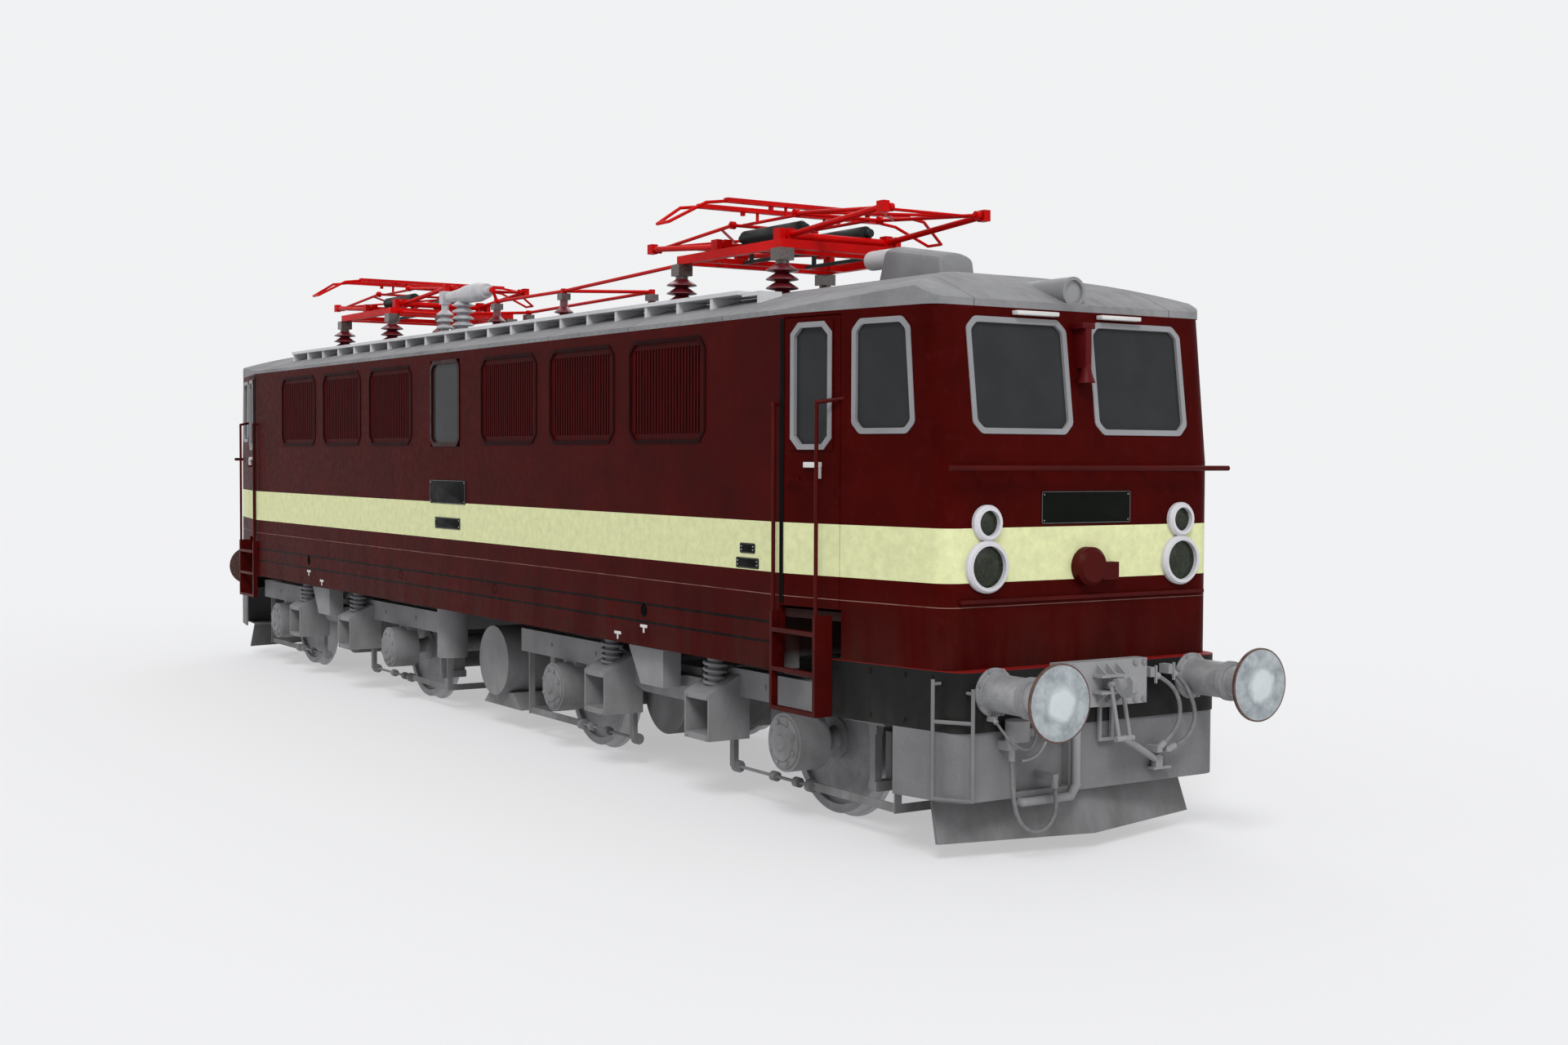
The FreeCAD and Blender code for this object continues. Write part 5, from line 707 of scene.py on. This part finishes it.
class LOCO_OT_ends(bpy.types.Operator):
    """Paint the bands, aprons, lamps, handrails, buffers, couplings and running gear"""

    bl_idname = "loco.ends"
    bl_label = "End paint"

    def execute(self, context):
        paint = context.scene.loco_paint
        band = painted("band_paint", paint.band, 0.5, 1.0, (0.85, 1.25, 0.5), (0.05, 0.045, 0.04))
        # the band's top ledge: red paint, made brighter as a painted highlight
        band.over(band.above(band.axis("z"), BAND_HIGH - 0.004), LEDGE_RED_AND_HIGHLIGHT)
        band.set().on("end_bands")
        painted("apron_paint", paint.apron, 0.6, 1.0, (0.1, 0.9, 0.55),
                mottle=0.14).on("end_aprons", "corner_steps")
        painted("gear_paint", paint.gear, 0.62, 1.3, (0.1, 1.1, 0.6),
                mottle=0.18).on("underfloor_tanks", "bogie_", "motors_")
        under = painted("underframe_paint_and_shade", paint.gear, 0.7, 1.3, (0.1, 1.1, 0.6), mottle=0.18)
        # near-black red above 1.05 m: painted shade where the underframe shows in the entry wells
        # under the body
        under.over(under.spread(under.axis("z"), 1.05, 1.25), (0.030, 0.012, 0.010))
        under.set().on("underframe")
        painted("pipework_paint", rgba(paint.gear, 1.15), 0.5, 2.0, (0.1, 1.1, 0.4),
                mottle=0.14).on("draw_gear", "hose_fittings")
        painted("rail_paint", paint.rails, 0.42, 2.0, gloss=0.08).on("handrails", "entry_ladders")
        self.lamps(paint)
        self.buffers(paint)
        self.wheels(paint)
        steel = Finish("bright_steel")
        fine = steel.noise(60.0, 4.0, 0.7)
        steel.mottle(steel.noise(7.0, 4.0, 0.6), 0.35, 0.7, (0.30, 0.30, 0.31), 0.7, 1.25)
        steel.speckle(fine, 0.6, 0.85, 0.3, (0.06, 0.035, 0.02))
        steel.feel(fine, 0.3, 0.55, fine, 0.1, 0.004, metal=0.75)
        return {"FINISHED"}

    def lamps(self, paint):
        """Pale rings and fluted lenses; those of the top lamps are roof grey."""
        top = 3.3
        ring = painted("lamp_ring_paint", paint.lamp, 0.4, 2.0, mottle=0.08)
        ring.over(ring.above(ring.axis("z"), top), paint.roof)
        ring.set().on("lamp_rings")
        lens = Finish("lamp_lens")
        flutes = lens.noise(40.0, 2.0, 0.5)
        lens.tone = lens.blend(flutes, 0.35, 0.65, (0.008, 0.011, 0.006), (0.020, 0.026, 0.014))
        lens.over(lens.above(lens.axis("z"), top), rgba(paint.roof, 1.1))
        lens.set(rough=0.2, specular=0.25, normal=lens.bump(flutes, 0.1, 0.004))
        lens.on("lamp_lenses")

    def buffers(self, paint):
        """Painted cases, rusty rims, and bare faces worn bright in the middle."""
        steel = Finish("buffer_steel")
        along = steel.off("x")
        blot = steel.noise(9.0, 5.0, 0.65)
        wear = steel.noise(42.0, 4.0, 0.7)
        steel.tone = steel.blend(blot, 0.35, 0.65, (0.22, 0.245, 0.262), (0.41, 0.445, 0.465))
        steel.speckle(wear, 0.58, 0.8, 0.6, (0.12, 0.14, 0.15))
        radius = steel.radius(steel.off("y", BUFFER_Y), steel.axis("z", BUFFER_Z))
        ragged = steel.math("ADD", radius, steel.spread(blot, 0.3, 0.7, -0.03, 0.03))
        face = steel.over(steel.spread(ragged, 0.085, 0.125, 0.85, 0.0), (0.60, 0.64, 0.66)).tone
        rim = steel.blend(wear, 0.35, 0.7, (0.055, 0.030, 0.024), (0.16, 0.085, 0.070))
        steel.mottle(blot, 0.3, 0.7, paint.gear, 1.0, 1.6)
        steel.over(steel.above(along, BUFFER_FACE - 0.039), rim)
        steel.over(steel.above(along, BUFFER_FACE - 0.0185), face)
        steel.feel(wear, 0.35, 0.6, wear, 0.15, 0.004, metal=0.25).on("buffers")

    def wheels(self, paint):
        """Dusty wheels with bright treads."""
        wheel = Finish("wheel_steel")
        fine = wheel.noise(45.0, 4.0, 0.6)
        wheel.mottle(wheel.noise(6.0, 5.0, 0.65), 0.35, 0.7, paint.gear, 0.75, 1.15)
        wheel.speckle(fine, 0.6, 0.85, 0.5, (0.10, 0.07, 0.05))
        from_pivot = wheel.math("ABSOLUTE", wheel.off("x", BOGIE_X))
        radius = wheel.radius(wheel.math("SUBTRACT", from_pivot, AXLE_X), wheel.axis("z", AXLE_Z))
        inside, outside = 0.536, 0.546
        wheel.over(wheel.spread(radius, inside, outside), (0.42, 0.42, 0.43))
        wheel.feel(fine, 0.42, 0.62, fine, 0.15, 0.005,
                   metal=wheel.spread(radius, inside, outside, 0.1, 0.9)).on("wheelset")


class LOCO_OT_inside(bpy.types.Operator):
    """Paint what shows through the windows"""

    bl_idname = "loco.inside"
    bl_label = "Inside paint"

    def execute(self, context):
        painted("bulkhead_paint", (0.13, 0.145, 0.13), 0.6).on("bulkheads")
        painted("desk_finish", (0.05, 0.05, 0.055), 0.6, 2.0).on("cab_fittings")
        painted("transformer_paint", (0.10, 0.10, 0.11), 0.6).on("transformer_block")
        return {"FINISHED"}


class LOCO_OT_plates(bpy.types.Operator):
    """Fix the blank plates, the sockets and the jacking marks to the sides and ends"""

    bl_idname = "loco.plates"
    bl_label = "Plates and marks"

    def execute(self, context):
        painted("plate_enamel", (0.005, 0.006, 0.005), 0.45, 2.0, mottle=0.3, gloss=0.03)
        painted("plate_rim", (0.11, 0.115, 0.11), 0.4, 2.0)
        painted("socket_black", (0.003, 0.003, 0.003), 0.8, 2.0, gloss=0.03)
        painted("mark_white", MARK_WHITE, 0.5, 2.0, mottle=0.08)
        # all that follows is on the front and the right side, and is then turned half round
        right = (0, RIGHT, 0)
        holes, marks, plates, rims, screws = Shape(), Shape(), Shape(), Shape(), []
        for sign in (1, -1):
            for x, z, wide, high in ((3.93, 1.405, 0.036, 0.058), (1.14, 1.395, 0.042, 0.046)):
                place = (facing((sign * x, -WALL_Y, z), right)
                         @ Matrix.Diagonal((wide, high, 1.0, 1.0)))
                holes.lathe([(0, -0.004), (1.0, -0.004), (1.0, 0.0015), (0.86, 0.0015),
                             (0.80, -0.0005), (0, -0.0005)], 24, place)
            # a mark is a T: a bar with a stem below it
            for x, z in ((3.93, 1.278), (3.50, 1.193)):
                place = facing((sign * x, -WALL_Y, z), right)
                stem = [(-0.011, -0.052), (0.011, -0.052), (0.011, -0.012), (-0.011, -0.012)]
                for outline in (rounded_outline(0.11, 0.024, 0.004, 2), stem):
                    marks.slab(outline, -0.003, 0.003, 0.001, place)
        # each plate's place, direction, width, height and rim
        for point, way, wide, high, rim in (
                ((NOSE_X, 0, 2.279), FORWARD, 0.794, 0.218, 0.007),
                ((0.0635, -WALL_Y, 2.254), right, 0.847, 0.226, 0.007),
                ((0.0635, -WALL_Y, 1.955), right, 0.60, 0.109, 0.007),
                ((5.45, -WALL_Y, 1.955), right, 0.20, 0.072, 0.004),
                ((5.45, -WALL_Y, 1.850), right, 0.30, 0.075, 0.004)):
            place = facing(point, way)
            plates.slab(rounded_outline(wide, high, 0.012), -0.004, 0.005, 0.0015, place)
            corners = rounded_outline(wide - 0.012, high - 0.012, 0.010, 3)
            rims.hoop([place @ Vector((x, y, 0.0055)) for x, y in corners], rim * 0.35, 6)
            for x in (0.024 - wide / 2, wide / 2 - 0.024):
                for y in (0.024 - high / 2, high / 2 - 0.024):
                    screws.append((place @ Vector((x, y, 0.006)), way))
        holes.turned().piece("side_sockets", "socket_black")
        plates.turned().piece("blank_plates", "plate_enamel")
        rims.turned().piece("plate_rims", "plate_rim")
        marks.turned().piece("workshop_marks", "mark_white")
        repeated("plate_screws", rivet, "bright_steel", about(screws), Radius=0.006, Height=0.004)
        return {"FINISHED"}


class LOCO_OT_cab_front(bpy.types.Operator):
    """Add rain bars and a horn to the cab fronts"""

    bl_idname = "loco.cab_front"
    bl_label = "Cab front trim"

    def execute(self, context):
        visors, horns = Shape(), Shape()
        top = 3.566
        for low, high in ((-0.55, -0.19), (0.19, 0.55)):
            visors.box((nose_x(top) - 0.01, low, top - 0.028), (nose_x(top) + 0.060, high, top),
                       0.006)
        visors.turned().piece("visor_bars", "mark_white")
        # a horn in its red case between the windows, its mouth down
        for low, high, wide, deep in ((3.462, 3.500, 0.056, 0.125), (3.20, 3.465, 0.027, 0.090)):
            horns.box((nose_x(high) - 0.02, -wide, low), (nose_x(low) + deep, wide, high), 0.006)
        horns.lathe([(0.0, 3.235), (0.022, 3.230), (0.026, 3.225), (0.034, 3.185), (0.047, 3.140),
                     (0.062, 3.105), (0.054, 3.105), (0.030, 3.160), (0.0, 3.180)], 32,
                    Matrix.Translation((nose_x(3.16) + 0.062, 0, 0)))
        horns.turned().piece("cab_horns", "horn_paint")
        return {"FINISHED"}


class LOCO_OT_doors(bpy.types.Operator):
    """Frame the door windows, fit the grips and lay a black strip beside each door: a seal, and
    painted shade of the gap
    """

    bl_idname = "loco.doors"
    bl_label = "Doors"

    def execute(self, context):
        # black of the door gaps: a rubber seal, and painted shade of the recessed groove beside
        # each door
        painted("door_gap_seal_and_shade", (0.004, 0.004, 0.004), 0.7, 2.0, mottle=0.3, gloss=0.05)
        gaps = Shape()
        window_z = (2.660 + 3.511) / 2
        for side in (RIGHT, LEFT):
            edges = [(x, side_y(x)) for x in (5.866, 5.908)]
            gaps.slab([(x, side * y) for x, y in edges]
                      + [(x, side * (y + 0.0035)) for x, y in edges[::-1]], 1.60, 3.552)
            for end, turn in ENDS:
                # at the rear the half turn puts the right side's doors on the left
                on_right = (side == RIGHT) == (end == "front")
                door = "%s_%s" % (end, "right" if on_right else "left")
                leaf = (turn @ Matrix.Translation((DOOR_X, side * side_y(DOOR_X), 0))
                        @ Matrix.Rotation(-side * math.atan(TAPER), 4, "Z"))
                window = leaf @ facing((DOOR_WIDTH / 2, 0, window_z), (0, side, 0))
                fill, trim, grip = Shape(), Shape(), Shape()
                fill.ring(chamfered(0.404, 0.875, 0.006), chamfered(0.360, 0.831, 0.066),
                          -0.012, 0.009, window)
                trim.ring(chamfered(0.392, 0.863, 0.074), chamfered(0.318, 0.789, 0.056),
                          -0.012, 0.017, window)
                for x, low, high, half, out in ((0.285, 2.532, 2.570, 0.078, 0.028),
                                                (0.352, 2.458, 2.560, 0.007, 0.036)):
                    grip.box((x - half, min(0, side * out), low),
                             (x + half, max(0, side * out), high), 0.004, leaf)
                fill.piece("door_fill_" + door, "cab_paint", "door_" + door)
                trim.piece("door_window_frame_" + door, "window_frame_paint", "door_" + door)
                grip.piece("door_grip_" + door, "mark_white", "door_" + door)
        gaps.turned().piece("door_gaps", "door_gap_seal_and_shade")
        return {"FINISHED"}


class LOCO_OT_bogies(bpy.types.Operator):
    """Add springs, axle-box covers and rigging bolts to the bogies"""

    bl_idname = "loco.bogies"
    bl_label = "Bogie trim"

    def execute(self, context):
        trim = context.scene.loco_trim
        for end, turn in ENDS:
            body = "bogie_" + end
            place = turn @ Matrix.Translation((BOGIE_X, 0, 0))
            covers, springs, heads = Shape(), [], []
            for side in (RIGHT, LEFT):
                way = Vector((0, side, 0))
                for x in (-AXLE_X, AXLE_X):
                    centre = Vector((x, side * 1.268, AXLE_Z))
                    covers.lathe([(0, -0.006), (0.185, -0.006), (0.185, 0.010), (0.172, 0.018),
                                  (0.135, 0.018), (0.128, 0.030), (0.060, 0.034), (0.052, 0.046),
                                  (0, 0.048)], 40, place @ facing(centre, way))
                    heads += ring_of(centre + way * 0.022, 0.154, way)
                for x in (-0.83, 0.83):
                    springs.append((Vector((x, side * 1.225, 0.842)), (0, 0, 1)))
                    covers.lathe([(0, 0.80), (0.058, 0.80), (0.058, 1.10), (0, 1.10)], 24,
                                 place @ Matrix.Translation((x, side * 1.225, 0)))
                    heads += [(Vector((x + dx, side * 1.391, z)), way)
                              for dx in (-0.15, 0.15) for z in (0.50, 0.807)]
                for x in (-2.2, -1.35, -0.35, 0.35, 1.35, 2.2):
                    heads.append((Vector((x, side * 1.112, 0.905 if abs(x) > 1 else 0.78)), way))
            covers.piece("axle_box_covers_" + end, "gear_paint", body)
            repeated("bogie_bolts_" + end, bolt, "gear_paint",
                     [(place @ point, turn.to_3x3() @ way) for point, way in heads], body,
                     Radius=trim.bolt_radius, Height=0.014)
            repeated("upper_springs_" + end, coil, "gear_paint",
                     [(place @ point, way) for point, way in springs], body,
                     Radius=0.082, Wire=trim.coil_wire, Height=0.24, Turns=trim.coil_turns)
        return {"FINISHED"}


class LOCO_OT_buffers(bpy.types.Operator):
    """Bolt the buffers and the coupling plate to the band"""

    bl_idname = "loco.buffers"
    bl_label = "Buffer and coupling trim"

    def execute(self, context):
        flanges, heads = Shape(), []
        for y in (-BUFFER_Y, BUFFER_Y):
            place = facing((BAND_X, y, BUFFER_Z), FORWARD)
            flanges.lathe([(0.121, -0.004), (0.158, -0.004), (0.158, 0.012), (0.152, 0.018),
                           (0.136, 0.020), (0.128, 0.034), (0.121, 0.034)], 40, place)
            flanges.lathe([(0.121, 0.34), (0.134, 0.345), (0.134, 0.385), (0.121, 0.39)], 32,
                          place)
            heads += ring_of((BAND_X + 0.020, y, BUFFER_Z), 0.144, FORWARD)
        flanges.turned().piece("buffer_flanges", "gear_paint")
        heads += [(Vector((BAND_X + 0.107, y, z)), FORWARD)
                  for y in (-0.38, -0.30, 0.25, 0.33) for z in (1.00, 1.247)]
        repeated("end_bolts", bolt, "gear_paint", about(heads), Radius=0.014, Height=0.014)
        heads = []
        for side in (RIGHT, LEFT):
            slope = Vector((TAPER, side, 0)).normalized()
            heads += [(Vector((x, side * (side_y(x) + 0.004), z)), slope)
                      for x in (6.42, 6.72, 7.02, 7.25) for z in (0.91, 1.20)]
        repeated("band_bolts", bolt, "band_paint", about(heads), Radius=0.012, Height=0.011)
        return {"FINISHED"}


class LOCO_OT_roof_trim(bpy.types.Operator):
    """Add the walkways' ribs, the eaves' rivets, the roof hood with its horn and spring cases"""

    bl_idname = "loco.roof_trim"
    bl_label = "Roof trim"

    def execute(self, context):
        trim = context.scene.loco_trim
        low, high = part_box("roof_walkways")
        ribs, rivets = [], []
        for side in (RIGHT, LEFT):
            y, up = side * 1.085, (0, 0, 1)
            ribs += line_of((low.x + 0.05, y, high.z), (4.88, y, high.z), trim.tread_pitch, up)
            y, z = side * (WALL_Y + 0.0005), EAVE_Z + 0.018
            rivets += line_of((-5.8, y, z), (5.8, y, z), 0.12, (0, side, 0))
        repeated("walkway_ribs", rib, "walkway_paint", ribs, Thickness=0.010, Width=0.235,
                 Height=0.006)
        repeated("eave_rivets", rivet, "roof_paint", rivets, Radius=trim.rivet_radius,
                 Height=0.006)
        self.hood()
        self.springs()
        return {"FINISHED"}

    def hood(self):
        """A slim hood with an arched lid that falls to the front, and a horn out of its back."""
        half, arch = 0.157, 0.066
        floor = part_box("roof_hoods")[0].z

        def section(foot, lean, wall):
            ring = [(foot, -half, floor), (foot, half, floor)]
            for k in range(9):
                turn = math.pi * k / 8
                z = wall + arch * math.sin(turn)
                ring.append((foot + lean * (z - 3.87), half * math.cos(turn), z))
            return ring
        hood, horn = Shape(), Shape()
        hood.skin([section(5.215, 0.30, 4.129), section(5.995, -0.15, 4.024)], bevel=0.022,
                  steps=3)
        radius, reach = 0.075, 0.42
        horn.lathe([(0, 0.035), (radius * 0.62, 0.030), (radius * 0.70, 0.0), (radius * 0.82, 0.0),
                    (radius * 0.96, 0.018), (radius, 0.045), (radius, reach), (0, reach)], 32,
                   facing((4.901, 0, 4.118), FORWARD))
        for item in (hood.piece("roof_hood_cover", "hood_paint", corner=30.0),
                     horn.piece("roof_horn", "walkway_paint")):
            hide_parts("roof_hoods")

    def springs(self):
        """Two spring cases on each pantograph's frame, with their feet and bearers."""
        cases = Shape()
        radius, neck, reach, end = 0.062, 0.034, 0.425, 0.485
        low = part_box("pantograph_springs")[0].z
        half = [(0, end), (neck - 0.006, end), (neck, end - 0.006), (neck, reach + 0.008),
                (radius - 0.014, reach + 0.006), (radius, reach - 0.010)]
        outline = [(r, -h) for r, h in half] + half[::-1]
        middle, axis_z = PANTOGRAPH_X, 4.400
        for y in (-0.31, 0.31):
            cases.lathe(outline, 40, facing((middle, y, axis_z), FORWARD))
            cases.box((middle - 0.44, y - 0.014, low), (middle + 0.44, y + 0.014, low + 0.028),
                      0.003)
            for x in (middle - 0.33, middle + 0.33):
                cases.box((x - 0.014, y - 0.016, low + 0.002),
                          (x + 0.014, y + 0.016, axis_z - 0.01), 0.003)
        item = cases.turned().piece("pantograph_spring_cases", "spring_case_paint")
        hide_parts("pantograph_springs")


def lit_two_ways(tree, output, kinds, part, first, second):
    """End a tree in one shader; the camera's rays and these kinds see a part of another."""
    rays = grow(tree, "ShaderNodeLightPath").outputs
    share = rays["Is Camera Ray"]
    for kind in kinds:
        share = grow(tree, "ShaderNodeMath", {0: share, 1: rays[kind]}, operation="MAXIMUM")
    if part < 1:
        share = scaled(tree, share, part)
    blend = grow(tree, "ShaderNodeMixShader", {0: share, 1: first, 2: second})
    grow(tree, output, {0: blend})


class LOCO_OT_stage(bpy.types.Operator):
    """Lay a pale floor and hang plain soft lamps"""

    bl_idname = "loco.stage"
    bl_label = "Studio"

    def execute(self, context):
        studio = context.scene.loco_studio
        floor = bpy.data.meshes.new("floor")
        floor.from_pydata([(220 * x, 220 * y, 0) for x, y in ((-1, -1), (1, -1), (1, 1), (-1, 1))],
                          [], [(0, 1, 2, 3)])
        material = bpy.data.materials.new("floor_pale")
        world = context.scene.world = bpy.data.worlds.new("studio")
        for owner in (material, world):
            owner.use_nodes = True
            owner.node_tree.nodes.clear()
        tree = material.node_tree
        cloth = grow(tree, "ShaderNodeBsdfDiffuse", {"Color": rgba((0.82, 0.82, 0.83))})
        glow = grow(tree, "ShaderNodeEmission", {"Color": rgba((0.91, 0.91, 0.92))})
        lit_two_ways(tree, "ShaderNodeOutputMaterial", ["Is Glossy Ray"], 0.5, cloth, glow)
        floor.materials.append(material)
        placed("floor", floor)
        tree = world.node_tree
        light = grow(tree, "ShaderNodeBackground",
                     {"Color": rgba((0.96, 0.98, 1.0)), "Strength": studio.sky})
        shown = grow(tree, "ShaderNodeBackground", {"Color": rgba((0.880, 0.884, 0.893))})
        lit_two_ways(tree, "ShaderNodeOutputWorld", ["Is Glossy Ray", "Is Transmission Ray"], 1,
                     light, shown)
        for name, energy, spread, way in (("key", studio.key, 0.35, (0.62, -0.52, 0.80)),
                                          ("fill", studio.fill, 0.8, (-0.55, 0.35, 0.75)),
                                          ("low_front", studio.fill, 0.9, (0.9, 0.2, 0.25))):
            lamp = bpy.data.lights.new(name, "SUN")
            lamp.energy, lamp.angle = energy, spread
            item = placed(name, lamp)
            item.rotation_mode = "QUATERNION"
            item.rotation_quaternion = Vector(way).to_track_quat("Z", "Y")
        context.scene.view_settings.view_transform = "Standard"
        return {"FINISHED"}


STEPS = (LOCO_OT_camera, LOCO_OT_hoses, LOCO_OT_body, LOCO_OT_roof, LOCO_OT_ends, LOCO_OT_inside,
         LOCO_OT_plates, LOCO_OT_cab_front, LOCO_OT_doors, LOCO_OT_bogies, LOCO_OT_buffers,
         LOCO_OT_roof_trim, LOCO_OT_stage)


class LOCO_PT_panel(bpy.types.Panel):
    """Lists the settings and steps"""

    bl_label = "Locomotive"
    bl_idname = "LOCO_PT_panel"
    bl_space_type = "VIEW_3D"
    bl_region_type = "UI"
    bl_category = "Locomotive"

    def draw(self, context):
        for group in (context.scene.loco_paint, context.scene.loco_trim,
                      context.scene.loco_studio):
            column = self.layout.column()
            for word in group.bl_rna.properties.keys():
                if word not in ("rna_type", "name"):
                    column.prop(group, word)
        for step in STEPS:
            self.layout.operator(step.bl_idname)


CLASSES = (LocoPaint, LocoTrim, LocoStudio) + STEPS + (LOCO_PT_panel,)


def register():
    for kind in CLASSES:
        bpy.utils.register_class(kind)
    bpy.types.Scene.loco_paint = PointerProperty(type=LocoPaint)
    bpy.types.Scene.loco_trim = PointerProperty(type=LocoTrim)
    bpy.types.Scene.loco_studio = PointerProperty(type=LocoStudio)


def unregister():
    for word in ("loco_paint", "loco_trim", "loco_studio"):
        delattr(bpy.types.Scene, word)
    for kind in reversed(CLASSES):
        bpy.utils.unregister_class(kind)


def main():
    register()
    for step in STEPS:
        area, word = step.bl_idname.split(".")
        getattr(getattr(bpy.ops, area), word)()


if __name__ == "__main__":
    main()
